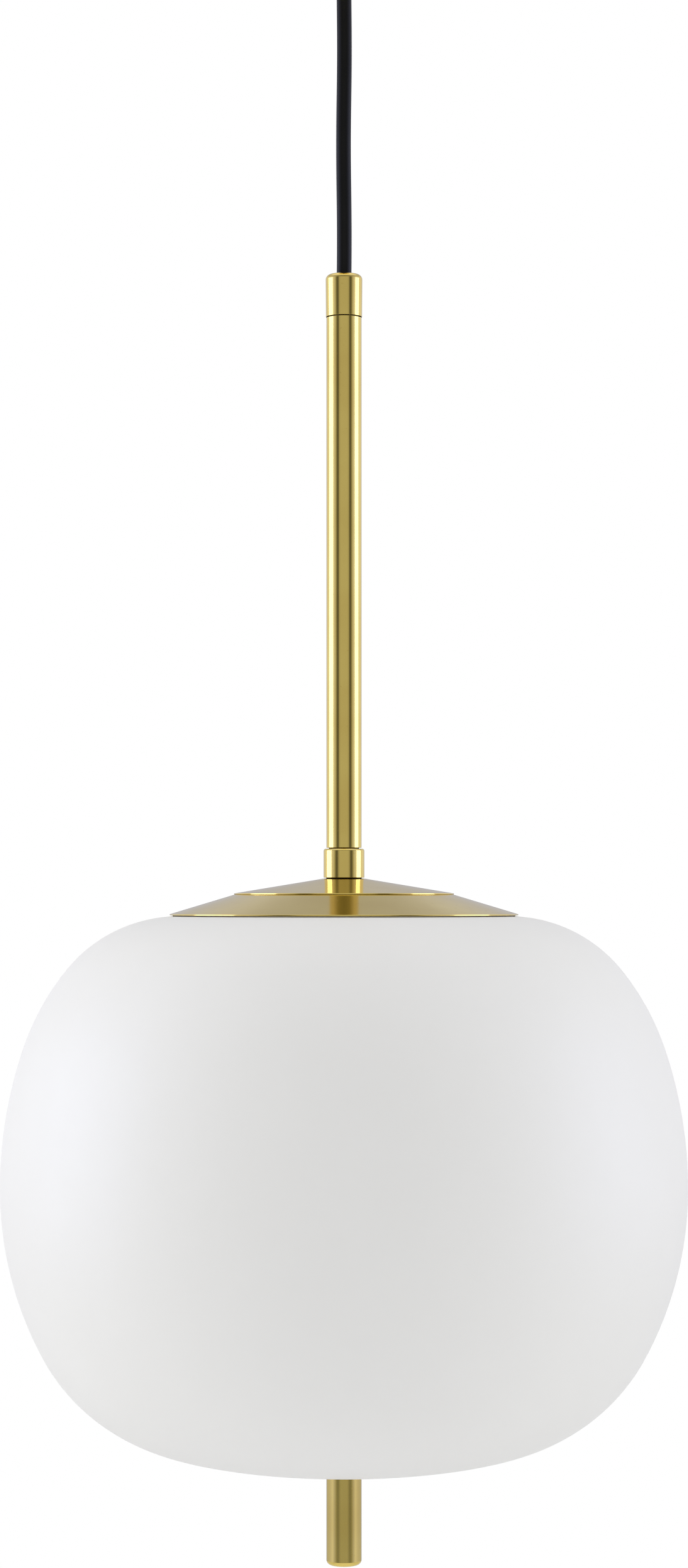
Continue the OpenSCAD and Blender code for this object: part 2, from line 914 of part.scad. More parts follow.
// ---- Shade ----
module glass_shade() {
  w = glass_wall;
  over = concat(
    [[mouth_r, shade_top_h]],
    arc(up_c3, up_r3, 90, up_a2, 14),
    tail(arc(up_c2, up_r2, up_a2, up_a1, 6), 1),
    tail(arc(up_c1, up_r1, up_a1, 0, 7), 1)
  );
  under = concat(
    tail(arc(dn_c1, dn_r1, 0, -dn_a1, 9), 1),
    tail(arc(dn_c2, dn_r2, -dn_a1, -dn_a2, 12), 1),
    tail(arc(dn_c3, dn_r3, -dn_a2, -90, 5), 1)
  );
  under_in = concat(
    arc(dn_c3, dn_r3 - w, -90, -dn_a2, 5),
    tail(arc(dn_c2, dn_r2 - w, -dn_a2, -dn_a1, 12), 1),
    tail(arc(dn_c1, dn_r1 - w, -dn_a1, 0, 9), 1)
  );
  hole = [[foot_hole_r, -seat_depth], [foot_hole_r, w - seat_depth]];
  over_in = concat(
    tail(arc(up_c1, up_r1 - w, 0, up_a1, 7), 1),
    tail(arc(up_c2, up_r2 - w, up_a1, up_a2, 6), 1),
    tail(arc(up_c3, up_r3 - w, up_a2, 90, 14), 1),
    [[mouth_r, shade_top_h - w]]
  );
  color("WhiteSmoke")
    translate([0, 0, z_wide])
      rotate_extrude()
        polygon(concat(over, under, hole, under_in, over_in));
}

module rim_gasket() {
  color("Gainsboro")
    tube(z_glass, z_rim, lower_r - 1.3, rim_inner_r - 2.4);
}

module foot_seal() {
  color("DarkGray")
    rotate_extrude()
      polygon([
        [seal_bore_r, z_pin], [seal_r, z_pin], [seal_r, z_seat], [foot_hole_r - 0.1, z_seat],
        [foot_hole_r - 0.1, z_seat + 3], [seal_bore_r, z_seat + 3]
      ]);
}

module finial_pin() {
  color("Goldenrod")
    rotate_extrude()
      polygon(concat(
        [[0, z_pin_low]],
        arc([pin_r - pin_round, z_pin_low + pin_round], pin_round, -90, 0, 8),
        [[pin_r, z_pin - seam], [pin_r - seam, z_pin], [pin_bore_r, z_pin]],
        [[pin_bore_r, z_pin - pin_bore_depth], [0, z_pin - pin_bore_depth - 1.5]]
      ));
}

// ---- Bulb ----
module bulb_contact() {
  color("Silver")
    rod(z_bulb_ins, z_tip, tip_r);
}

module bulb_insulator() {
  color("Black")
    rotate_extrude()
      polygon([[0, z_bulb_cap], [11, z_bulb_cap], [tip_r + 0.6, z_bulb_ins], [0, z_bulb_ins]]);
}

module bulb_cap() {
  turns = 4;
  top = z_bulb_cap;
  wave = [
    for (i = [0:turns * 6])
      [bulb_cap_r - thread_depth * (0.5 + 0.5 * cos(60 * i)), top - 2.4 - i * thread_pitch / 6]
  ];
  color("Silver")
    rotate_extrude()
      polygon(concat(
        [[10, top], [11, top], [bulb_cap_r - thread_depth, top - 1.6]],
        wave,
        [[bulb_neck_r, z_bulb_neck + 2.2], [bulb_neck_r, z_bulb_neck], [bulb_neck_r - 1.6, z_bulb_neck]],
        [[bulb_neck_r - 1.6, top - 2.4], [10, top - 1]]
      ));
}

module bulb_envelope() {
  join_a = 32;
  c = [0, z_bulb_mid];
  neck = [bulb_neck_r, z_bulb_neck];
  knee = c + bulb_r * [cos(join_a), sin(join_a)];
  way = [sin(join_a), -cos(join_a)];
  side = bez(neck, neck + [0, -16], knee - 16 * way, knee, 10);
  c_in = c;
  r_in = bulb_r - bulb_wall;
  neck_in = neck - [bulb_wall, 0];
  knee_in = c + r_in * [cos(join_a), sin(join_a)];
  side_in = bez(knee_in, knee_in - 16 * way, neck_in + [0, -16], neck_in, 10);
  color("WhiteSmoke")
    rotate_extrude()
      polygon(concat(
        side,
        tail(arc(c, bulb_r, join_a, -90, 18), 1),
        arc(c_in, r_in, -90, join_a, 18),
        tail(side_in, 1)
      ));
}

ceiling_bracket();
bracket_earth_screw();
canopy_cup();
canopy_screws();
cord_grip();
grip_screw();
grip_washer();
grip_nut();
terminal_strap();
terminal_block();
terminal_inserts();
terminal_screws();
block_screw();
strap_earth_screw();
earth_lug();
cord_tail();
canopy_live_wire();
canopy_neutral_wire();
canopy_earth_wire();
cord();
stem_cap();
cap_grub_screw();
cord_stub();
top_nipple();
stem_top_insert();
stem_tube();
stem_bottom_insert();
collar();
lower_nipple();
upper_disc();
disc_spacer();
lower_disc();
yoke_top_bar();
lock_washer();
lock_nut();
yoke_rod_left();
yoke_rod_right();
yoke_nuts();
yoke_bottom_bar();
finial_stud();
stud_nuts();
holder_cap();
holder_insert();
holder_shell();
holder_thread();
holder_contact();
holder_terminals();
lamp_live_wire();
lamp_neutral_wire();
lamp_earth_wire();
glass_shade();
rim_gasket();
foot_seal();
finial_pin();
bulb_envelope();
bulb_cap();
bulb_insulator();
bulb_contact();
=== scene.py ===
import json
import math

import bmesh
import bpy
from mathutils import Matrix, Vector


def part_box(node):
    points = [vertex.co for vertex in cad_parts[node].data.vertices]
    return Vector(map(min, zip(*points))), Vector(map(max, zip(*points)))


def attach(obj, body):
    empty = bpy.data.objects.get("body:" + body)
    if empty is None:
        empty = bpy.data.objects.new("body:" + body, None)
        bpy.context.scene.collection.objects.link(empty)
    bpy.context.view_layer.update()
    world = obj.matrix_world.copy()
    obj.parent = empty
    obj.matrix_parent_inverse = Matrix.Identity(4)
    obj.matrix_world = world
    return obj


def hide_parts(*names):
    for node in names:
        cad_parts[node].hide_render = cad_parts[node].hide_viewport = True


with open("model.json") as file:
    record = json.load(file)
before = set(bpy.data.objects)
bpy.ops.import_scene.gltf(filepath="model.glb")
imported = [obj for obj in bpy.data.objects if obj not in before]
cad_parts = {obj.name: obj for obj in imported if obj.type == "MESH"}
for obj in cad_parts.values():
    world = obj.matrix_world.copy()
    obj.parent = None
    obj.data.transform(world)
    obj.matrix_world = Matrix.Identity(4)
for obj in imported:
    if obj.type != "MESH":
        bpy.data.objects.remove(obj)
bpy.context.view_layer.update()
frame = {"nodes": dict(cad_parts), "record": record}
scene = bpy.context.scene
scene.view_settings.view_transform = "Standard"
BOX = {name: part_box(name) for name in frame["nodes"]}
MM = 0.001
SLIVER = 0.0003 * MM  # edges shorter than this are cleaned away after a cut
CORD_R = 3.25 * MM


def low(node):
    return BOX[node][0][2]


def high(node):
    return BOX[node][1][2]


def middle(node):
    lo, hi = BOX[node]
    return [(a + b) / 2 for a, b in zip(lo, hi)]


def rad(node):
    """A round node's outer radius, to a twentieth of a millimetre."""
    lo, hi = BOX[node]
    half = max(hi[0] - lo[0], hi[1] - lo[1]) / 2
    return math.ceil(half / MM * 20 - 0.3) / 20 * MM


# ---- Camera ----
CAMERA_AWAY = 1.5  # from the lamp's axis
FOCAL = 2.184  # focal length over the picture's height
EYE_BELOW = 0.0724  # how far the eye level lies under the middle of the picture, over its height
eye_z = low("collar") - 8.3 * MM
camera_data = bpy.data.cameras.new("camera")
camera_data.sensor_fit = "AUTO"
camera_data.sensor_width = 36
camera_data.lens = 36 * FOCAL
camera_data.clip_start = 0.05
camera_data.clip_end = 50
camera = bpy.data.objects.new("camera", camera_data)
scene.collection.objects.link(camera)
camera.location = (0, -CAMERA_AWAY, eye_z)
camera.rotation_euler = (math.pi / 2, 0, 0)
camera_data.shift_y = EYE_BELOW
scene.camera = camera


# ---- Node helpers ----
class Nodes:
    """A material's node tree, with short calls."""

    def __init__(self, tree):
        self.tree = tree
        tree.nodes.clear()

    def add(self, kind, **settings):
        node = self.tree.nodes.new(kind)
        for key, value in settings.items():
            setattr(node, key, value)
        return node

    def link(self, a, b):
        self.tree.links.new(a, b)

    def put(self, socket, value):
        if isinstance(value, bpy.types.NodeSocket):
            self.link(value, socket)
        else:
            socket.default_value = value

    def math(self, op, a, b=None, c=None, clamp=False):
        node = self.add("ShaderNodeMath", operation=op, use_clamp=clamp)
        for i, v in enumerate((a, b, c)):
            if v is not None:
                self.put(node.inputs[i], v)
        return node.outputs[0]

    def ramp(self, factor, stops):
        node = self.add("ShaderNodeValToRGB")
        els = node.color_ramp.elements
        while len(els) < len(stops):
            els.new(0.5)
        for el, (pos, col) in zip(els, stops):
            el.position = pos
            el.color = (*col, 1) if hasattr(col, "__len__") else (col, col, col, 1)
        self.link(factor, node.inputs[0])
        return node.outputs[0]

    def noise(self, vector, scale, detail=3, rough=0.55):
        node = self.add("ShaderNodeTexNoise")
        if vector is not None:
            self.link(vector, node.inputs["Vector"])
        node.inputs["Scale"].default_value = scale
        node.inputs["Detail"].default_value = detail
        node.inputs["Roughness"].default_value = rough
        return node.outputs["Fac"]

    def place(self, scale=(1, 1, 1)):
        coord = self.add("ShaderNodeTexCoord").outputs["Object"]
        if scale == (1, 1, 1):
            return coord
        node = self.add("ShaderNodeMapping")
        node.inputs["Scale"].default_value = scale
        self.link(coord, node.inputs["Vector"])
        return node.outputs[0]

    def radius(self):
        """Distance from the vertical axis."""
        split = self.add("ShaderNodeSeparateXYZ")
        self.link(self.place(), split.inputs[0])
        squares = [self.math("MULTIPLY", part, part) for part in split.outputs[:2]]
        return self.math("SQRT", self.math("ADD", *squares))

    def bump(self, height, strength, distance):
        node = self.add("ShaderNodeBump")
        node.inputs["Strength"].default_value = strength
        node.inputs["Distance"].default_value = distance
        self.link(height, node.inputs["Height"])
        return node.outputs[0]


def material(name, **settings):
    mat = bpy.data.materials.new(name)
    mat.use_nodes = True
    n = Nodes(mat.node_tree)
    shader = n.add("ShaderNodeBsdfPrincipled")
    out = n.add("ShaderNodeOutputMaterial")
    n.link(shader.outputs[0], out.inputs[0])
    for key, value in settings.items():
        shader.inputs[key.replace("_", " ")].default_value = value
    return mat, n, shader


def between(n, factor, a, b):
    """Colour or number running from a to b as factor goes from 0 to 1."""
    return n.ramp(factor, [(0.25, a), (0.75, b)])


# ---- Materials ----
def metal(name, light, dark, rough, grain=(1, 1, 1), grain_scale=900, relief=0.04, rings=False):
    """Metal with faint lines along the grain, cloudy wear in colour and roughness, and specks."""
    mat, n, shader = material(name, Metallic=1.0)
    here = n.place()
    cloud = n.noise(here, 38, 4)
    if rings:
        lines = n.add("ShaderNodeTexNoise", noise_dimensions="1D")
        n.link(n.radius(), lines.inputs["W"])
        lines.inputs["Scale"].default_value = grain_scale
        lines.inputs["Detail"].default_value = 3
        lines = lines.outputs["Fac"]
    else:
        lines = n.noise(n.place(grain), grain_scale, 3)
    specks = n.ramp(n.noise(here, 520, 2, 0.4), [(0.70, 0), (0.76, 1)])
    specks = n.math("MULTIPLY", specks, 0.5)
    tone = n.math("ADD", cloud, specks, clamp=True)
    n.link(between(n, tone, light, dark), shader.inputs["Base Color"])
    base = n.math("MULTIPLY_ADD", cloud, rough * 0.7, rough * 0.6)
    more = n.math("MULTIPLY_ADD", lines, rough * 0.35, base)
    n.link(n.math("MULTIPLY_ADD", specks, 0.2, more, clamp=True), shader.inputs["Roughness"])
    n.link(n.bump(lines, relief, 0.00005), shader.inputs["Normal"])
    return mat


def plastic(name, light, dark, rough, relief=0.05, **more):
    """Moulded plastic, glaze or plain glass: cloudy colour and gloss over a fine surface relief."""
    mat, n, shader = material(name, **more)
    here = n.place()
    cloud = n.noise(here, 60, 3)
    n.link(between(n, cloud, light, dark), shader.inputs["Base Color"])
    fine = n.noise(here, 1500, 3)
    n.link(n.math("MULTIPLY_ADD", cloud, rough * 0.4, rough * 0.8), shader.inputs["Roughness"])
    n.link(n.bump(fine, relief, 0.00008), shader.inputs["Normal"])
    return mat


def opal(name):
    """Satin opal glass: an etched skin with the faintest cloudiness."""
    mat, n, shader = material(name, IOR=1.5, Subsurface_Weight=0.18, Subsurface_Scale=0.012)
    shader.inputs["Subsurface Radius"].default_value = (1.0, 0.95, 0.9)
    here = n.place()
    cloud = n.noise(here, 9, 4)
    colour = between(n, cloud, (0.905, 0.9, 0.885), (0.88, 0.874, 0.858))
    n.link(colour, shader.inputs["Base Color"])
    fine = n.noise(here, 2600, 2)
    n.link(n.math("MULTIPLY_ADD", cloud, 0.1, 0.5), shader.inputs["Roughness"])
    n.link(n.bump(fine, 0.05, 0.00005), shader.inputs["Normal"])
    return mat


def two_colour(name, a, b, width, rough):
    """An earth core: stripes of two colours along the wire, by height and side."""
    mat, n, shader = material(name, Roughness=rough)
    wave = n.add("ShaderNodeTexWave", wave_type="BANDS", bands_direction="DIAGONAL")
    wave.inputs["Scale"].default_value = 1 / width
    n.link(n.place(), wave.inputs["Vector"])
    n.link(n.ramp(wave.outputs["Fac"], [(0.45, a), (0.55, b)]), shader.inputs["Base Color"])
    n.link(n.bump(n.noise(n.place(), 900), 0.05, 0.00005), shader.inputs["Normal"])
    return mat


def galvanised(name):
    """Galvanised steel: zinc spangle whose crystals differ in tone and gloss."""
    mat, n, shader = material(name, Metallic=1.0)
    cells = n.add("ShaderNodeTexVoronoi")
    cells.inputs["Scale"].default_value = 260
    n.link(n.place(), cells.inputs["Vector"])
    tone = n.add("ShaderNodeSeparateColor")
    n.link(cells.outputs["Color"], tone.inputs[0])
    colour = between(n, tone.outputs[0], (0.5, 0.52, 0.54), (0.68, 0.69, 0.7))
    n.link(colour, shader.inputs["Base Color"])
    n.link(n.math("MULTIPLY_ADD", tone.outputs[1], 0.18, 0.3), shader.inputs["Roughness"])
    n.link(n.bump(n.noise(n.place(), 700), 0.06, 0.00008), shader.inputs["Normal"])
    return mat


BRASS = (0.80, 0.63, 0.185)
BRASS_DARK = (0.72, 0.545, 0.15)
DRAWN, TURNED = (0.04, 0.04, 1), (0.1, 0.1, 1)
MAT = {
    "stem": metal(
        "stem_brass", BRASS, BRASS_DARK, 0.08, grain=(1, 1, 0.04), grain_scale=1500, relief=0.008
    ),
    # Painted shade: a near-black rough metal laid on seam groove faces to stand for their shadow
    # line
    "painted_seam_shade": metal("painted_seam_shade", (0.05, 0.03, 0.012), (0.02, 0.012, 0.006), 0.6),
    "disc": metal("disc_brass", BRASS, BRASS_DARK, 0.10, rings=True, grain_scale=2600, relief=0.03),
    "cup": metal("cup_brass", BRASS, BRASS_DARK, 0.15, grain=DRAWN, grain_scale=1800, relief=0.05),
    "raw": metal(
        "raw_brass", (0.76, 0.6, 0.27), (0.6, 0.44, 0.18), 0.3, grain=TURNED, grain_scale=1400
    ),
    "zinc": metal(
        "zinc_plate", (0.74, 0.73, 0.7), (0.6, 0.6, 0.58), 0.24, grain=TURNED, grain_scale=1600
    ),
    "black_steel": metal("black_steel", (0.05, 0.05, 0.055), (0.03, 0.03, 0.03), 0.4),
    "nickel": metal("nickel_cap", (0.74, 0.71, 0.66), (0.62, 0.6, 0.56), 0.22, grain=TURNED),
    "solder": metal(
        "solder", (0.66, 0.66, 0.67), (0.5, 0.5, 0.52), 0.42, grain_scale=500, relief=0.2
    ),
    "galvanised": galvanised("galvanised_steel"),
    "opal": opal("opal_glass"),
    "cord": plastic(
        "cord_sheath",
        (0.005, 0.005, 0.005),
        (0.0035, 0.0035, 0.0035),
        0.4,
        relief=0.09,
        Specular_IOR_Level=0.16,
    ),
    "white": plastic("white_plastic", (0.86, 0.85, 0.81), (0.8, 0.79, 0.74), 0.45, relief=0.08),
    "porcelain": plastic(
        "porcelain", (0.86, 0.85, 0.8), (0.8, 0.78, 0.72), 0.12, relief=0.03, Coat_Weight=0.6
    ),
    "silicone": plastic(
        "silicone", (0.62, 0.61, 0.58), (0.55, 0.54, 0.5), 0.5, Transmission_Weight=0.3
    ),
    "frosted": plastic(
        "frosted_glass", (0.93, 0.92, 0.89), (0.88, 0.87, 0.84), 0.38, Subsurface_Weight=0.2
    ),
    "black_glass": plastic(
        "black_glass", (0.02, 0.02, 0.024), (0.012, 0.012, 0.014), 0.1, relief=0.02
    ),
    "brown": plastic("brown_core", (0.25, 0.105, 0.045), (0.19, 0.075, 0.03), 0.35),
    "blue": plastic("blue_core", (0.045, 0.17, 0.56), (0.03, 0.12, 0.44), 0.35),
    "earth": two_colour("earth_core", (0.08, 0.32, 0.06), (0.85, 0.7, 0.05), 0.009, 0.35),
}


# ---- Mesh helpers ----
def finish_mesh(name, bm, mat, body, nodes, sharp=38, weighted=True):
    """Makes a mesh into a piece that rides on a body and stands for CAD nodes."""
    bmesh.ops.recalc_face_normals(bm, faces=bm.faces)
    if bm.calc_volume(signed=True) < 0:
        bmesh.ops.reverse_faces(bm, faces=bm.faces)
    for f in bm.faces:
        f.smooth = True
    for e in bm.edges:
        if len(e.link_faces) == 2 and e.calc_face_angle(0) > math.radians(sharp):
            e.smooth = False
    mesh = bpy.data.meshes.new(name)
    bm.to_mesh(mesh)
    bm.free()
    mesh.materials.append(mat)
    obj = bpy.data.objects.new(name, mesh)
    scene.collection.objects.link(obj)
    if weighted:
        m = obj.modifiers.new("weighted", "WEIGHTED_NORMAL")
        m.keep_sharp = True
    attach(obj, body)
    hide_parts(*nodes)
    return obj


def rounded(points, steps=4):
    """A closed outline with corners rounded: each point is (r, z) or (r, z, rounding)."""
    out = []
    count = len(points)
    for i, p in enumerate(points):
        if len(p) < 3:
            out.append((p[0], p[1]))
            continue
        here = Vector(p[:2])
        before = Vector(points[i - 1][:2]) - here
        after = Vector(points[(i + 1) % count][:2]) - here
        reach = min(p[2], before.length * 0.45, after.length * 0.45)
        a, b = here + before.normalized() * reach, here + after.normalized() * reach
        for s in range(steps + 1):
            t = s / steps
            out.append(tuple((1 - t) ** 2 * a + 2 * t * (1 - t) * here + t * t * b))
    return out


def turned(bm, rings, steps, centre=(0, 0)):
    """Joins rings into a closed skin.

    A ring is a function from an angle to (r, z). A ring with no radius is one point on the axis.
    """
    made = []
    for ring in rings:
        r0, z0 = ring(0)
        if r0 < 1e-9:
            made.append([bm.verts.new((centre[0], centre[1], z0))])
            continue
        row = []
        for i in range(steps):
            a = 2 * math.pi * i / steps
            r, z = ring(a)
            row.append(bm.verts.new((centre[0] + r * math.cos(a), centre[1] + r * math.sin(a), z)))
        made.append(row)
    for k in range(len(made)):
        a, b = made[k], made[(k + 1) % len(made)]
        if len(a) == 1 and len(b) == 1:
            continue
        for i in range(steps):
            j = (i + 1) % steps
            if len(a) == 1:
                bm.faces.new((a[0], b[j], b[i]))
            elif len(b) == 1:
                bm.faces.new((a[i], a[j], b[0]))
            else:
                bm.faces.new((a[i], a[j], b[j], b[i]))


def lathe(name, outline, mat, body, nodes, steps=128):
    """A body of revolution from a closed outline of (r, z)."""
    bm = bmesh.new()
    turned(bm, [at(*p) for p in outline], steps)
    return finish_mesh(name, bm, mat, body, nodes)


def arc(centre, radius, start, end, steps):
    """Points on an arc, in degrees."""
    out = []
    for i in range(steps + 1):
        a = math.radians(start + (end - start) * i / steps)
        out.append((centre[0] + radius * math.cos(a), centre[1] + radius * math.sin(a)))
    return out


def at(r, z):
    """A plain circular ring."""
    return lambda _: (r, z)


def thread(z0, z1, r, pitch):
    """Rings of a helical thread from z0 to z1 whose crests reach r, fading out at both ends."""
    depth = pitch * 0.5
    rows = max(6, round(abs(z1 - z0) / pitch * 6))

    def ring_at(k):
        z = z0 + (z1 - z0) * k / rows
        fade = min(1.0, abs(z - z0) / pitch, abs(z1 - z) / pitch)

        def ring(a):
            phase = (z / pitch - a / (2 * math.pi)) % 1
            return r - depth * (fade * abs(2 * phase - 1) + (1 - fade) * 0.7), z

        return ring

    return [ring_at(k) for k in range(rows + 1)]


def hex_nut(z0, z1, across, bore, centre=(0, 0)):
    """A nut with chamfered corners and bore."""
    flat = across / 2
    crown = flat * 0.96
    slope = math.tan(math.radians(28))
    chamfer = 0.4 * MM

    def side(a):
        return flat / math.cos(a % (math.pi / 3) - math.pi / 6)

    rings = [
        at(bore, z0 + chamfer),
        at(bore + chamfer, z0),
        at(crown, z0),
        lambda a: (side(a), z0 + (side(a) - crown) * slope),
        lambda a: (side(a), z1 - (side(a) - crown) * slope),
        at(crown, z1),
        at(bore + chamfer, z1),
        at(bore, z1 - chamfer),
    ]
    bm = bmesh.new()
    turned(bm, rings, 72, centre)
    return bm


def block(lo, hi):
    bm = bmesh.new()
    size = [b - a for a, b in zip(lo, hi)]
    middle = Vector([(a + b) / 2 for a, b in zip(lo, hi)])
    place = Matrix.Translation(middle) @ Matrix.Diagonal((*size, 1))
    bmesh.ops.create_cube(bm, size=1, matrix=place)
    return bm


def drill(a, b, r):
    """A round cutter from a to b."""
    a, b = Vector(a), Vector(b)
    bm = bmesh.new()
    turn = (b - a).to_track_quat("Z", "Y").to_matrix().to_4x4()
    place = Matrix.Translation((a + b) / 2) @ turn
    bmesh.ops.create_cone(
        bm, cap_ends=True, segments=48, radius1=r, radius2=r, depth=(b - a).length, matrix=place
    )
    return bm


def less(bm, *cutters):
    """A closed mesh with others cut out of it."""

    def temporary(source):
        bmesh.ops.recalc_face_normals(source, faces=source.faces)
        mesh = bpy.data.meshes.new("temporary")
        source.to_mesh(mesh)
        source.free()
        obj = bpy.data.objects.new("temporary", mesh)
        scene.collection.objects.link(obj)
        return obj

    body = temporary(bm)
    tools = [temporary(cutter) for cutter in cutters]
    for tool in tools:
        cut = body.modifiers.new("cut", "BOOLEAN")
        cut.object = tool
        cut.operation = "DIFFERENCE"
        cut.solver = "MANIFOLD"
    graph = bpy.context.evaluated_depsgraph_get()
    done = bpy.data.meshes.new_from_object(body.evaluated_get(graph))
    out = bmesh.new()
    out.from_mesh(done)
    bmesh.ops.dissolve_degenerate(out, dist=SLIVER, edges=out.edges)
    bpy.data.meshes.remove(done)
    for obj in (body, *tools):
        mesh = obj.data
        bpy.data.objects.remove(obj)
        bpy.data.meshes.remove(mesh)
    return out


def joined(*meshes):
    """Several meshes as one."""
    out = bmesh.new()
    for bm in meshes:
        mesh = bpy.data.meshes.new("temporary")
        bm.to_mesh(mesh)
        bm.free()
        out.from_mesh(mesh)
        bpy.data.meshes.remove(mesh)
    return out


def screw(shank_r, length, pitch, slot_w, slot_d, head_r=0.0, head_h=0.0):
    """A slotted screw along +Z: the head stands on z = 0, and the shank goes down from there."""
    edge = 0.2 * MM
    rings = [at(0, -length), at(shank_r - 2 * edge, -length)]
    if head_r:
        rings += thread(-length + edge, -0.5 * edge, shank_r, pitch)
        rings += [at(shank_r - edge, 0), at(head_r - edge, 0), at(head_r, edge)]
        rings += [at(head_r, head_h - 2 * edge), at(head_r - 0.7 * edge, head_h - 0.7 * edge)]
        rings += [at(head_r - 2 * edge, head_h), at(0, head_h)]
    else:
        rings += thread(-length + edge, -edge, shank_r, pitch)
        rings += [at(shank_r - 2 * edge, 0), at(0, 0)]
    bm = bmesh.new()
    turned(bm, rings, 40)
    wide = max(head_r, shank_r) + 1 * MM
    slot = block((-wide, -slot_w / 2, head_h - slot_d), (wide, slot_w / 2, head_h + 1 * MM))
    return less(bm, slot)


def placed(bm, where, turn=None):
    """The mesh turned, then moved."""
    bm.transform(Matrix.Translation(Vector(where)) @ (turn or Matrix.Identity(4)))
    return bm


TO_X = Matrix.Rotation(math.pi / 2, 4, "Y")
TO_MINUS_X = Matrix.Rotation(-math.pi / 2, 4, "Y")
TO_Y = Matrix.Rotation(-math.pi / 2, 4, "X") @ Matrix.Rotation(math.pi / 2, 4, "Z")
DOWN = Matrix.Rotation(math.pi, 4, "X")


def refine(node, mat, bevel):
    """A CAD node's own shape with its edges broken, as a piece that stands for the node."""
    source = frame["nodes"][node]
    bm = bmesh.new()
    bm.from_mesh(source.data)
    bm.transform(source.matrix_world)
    bmesh.ops.remove_doubles(bm, verts=bm.verts, dist=1e-6)
    bmesh.ops.dissolve_limit(bm, angle_limit=math.radians(0.6), verts=bm.verts, edges=bm.edges)
    obj = finish_mesh(
        node + "_made", bm, mat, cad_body(node), (node,), sharp=30, weighted=False
    )
    m = obj.modifiers.new("edges", "BEVEL")
    m.width = bevel
    m.segments = 2
    m.limit_method = "ANGLE"
    m.angle_limit = math.radians(40)
    m.use_clamp_overlap = True
    w = obj.modifiers.new("weighted", "WEIGHTED_NORMAL")
    w.keep_sharp = False


BODIES = frame["record"]["behaviour"]["bodies"]


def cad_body(node):
    """The body that a CAD node rides on."""
    return next(b for b, nodes in BODIES.items() if node in nodes)


# ---- Cord ----
def run(name, route, r, mat, around, along):
    """A round cord or wire along a smooth route."""
    curve = bpy.data.curves.new(name, "CURVE")
    curve.dimensions = "3D"
    curve.bevel_depth = r
    curve.bevel_resolution = around
    curve.resolution_u = along
    curve.use_fill_caps = True
    spline = curve.splines.new("NURBS")
    spline.points.add(len(route) - 1)
    for point, place in zip(spline.points, route):
        point.co = (*place, 1)
    spline.use_endpoint_u = True
    spline.order_u = 4
    curve.materials.append(MAT[mat])
    obj = bpy.data.objects.new(name, curve)
    scene.collection.objects.link(obj)
    return obj


def free_cord():
    """The cord, nearly straight, with the slight waviness of a cord that has been coiled."""
    top, foot = high("cord") - 2.25 * MM, low("cord") + 2.25 * MM
    count = 24
    sway = 0.22 * MM
    route = []
    for i in range(count + 1):
        t = i / count
        ends = math.sin(math.pi * t) ** 0.5
        x = sway * ends * math.sin(9.5 * t + 0.6)
        y = sway * ends * math.sin(6.3 * t + 2.0)
        route.append((x, y, foot + (top - foot) * t))
    obj = run("cord_line", route, CORD_R, "cord", 10, 4)
    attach(obj, "cord")
    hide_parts("cord")


free_cord()


# ---- Stem, discs, finial ----
def painted_seam_shade(obj, z0, z1, inside_r):
    """Paints the faces at the bottom of a seam near-black: painted shade that stands for the seam's
    shadow line.
    """
    obj.data.materials.append(MAT["painted_seam_shade"])
    for face in obj.data.polygons:
        if z0 - 1e-6 < face.center.z < z1 + 1e-6 and face.center.xy.length < inside_r:
            face.material_index = 1


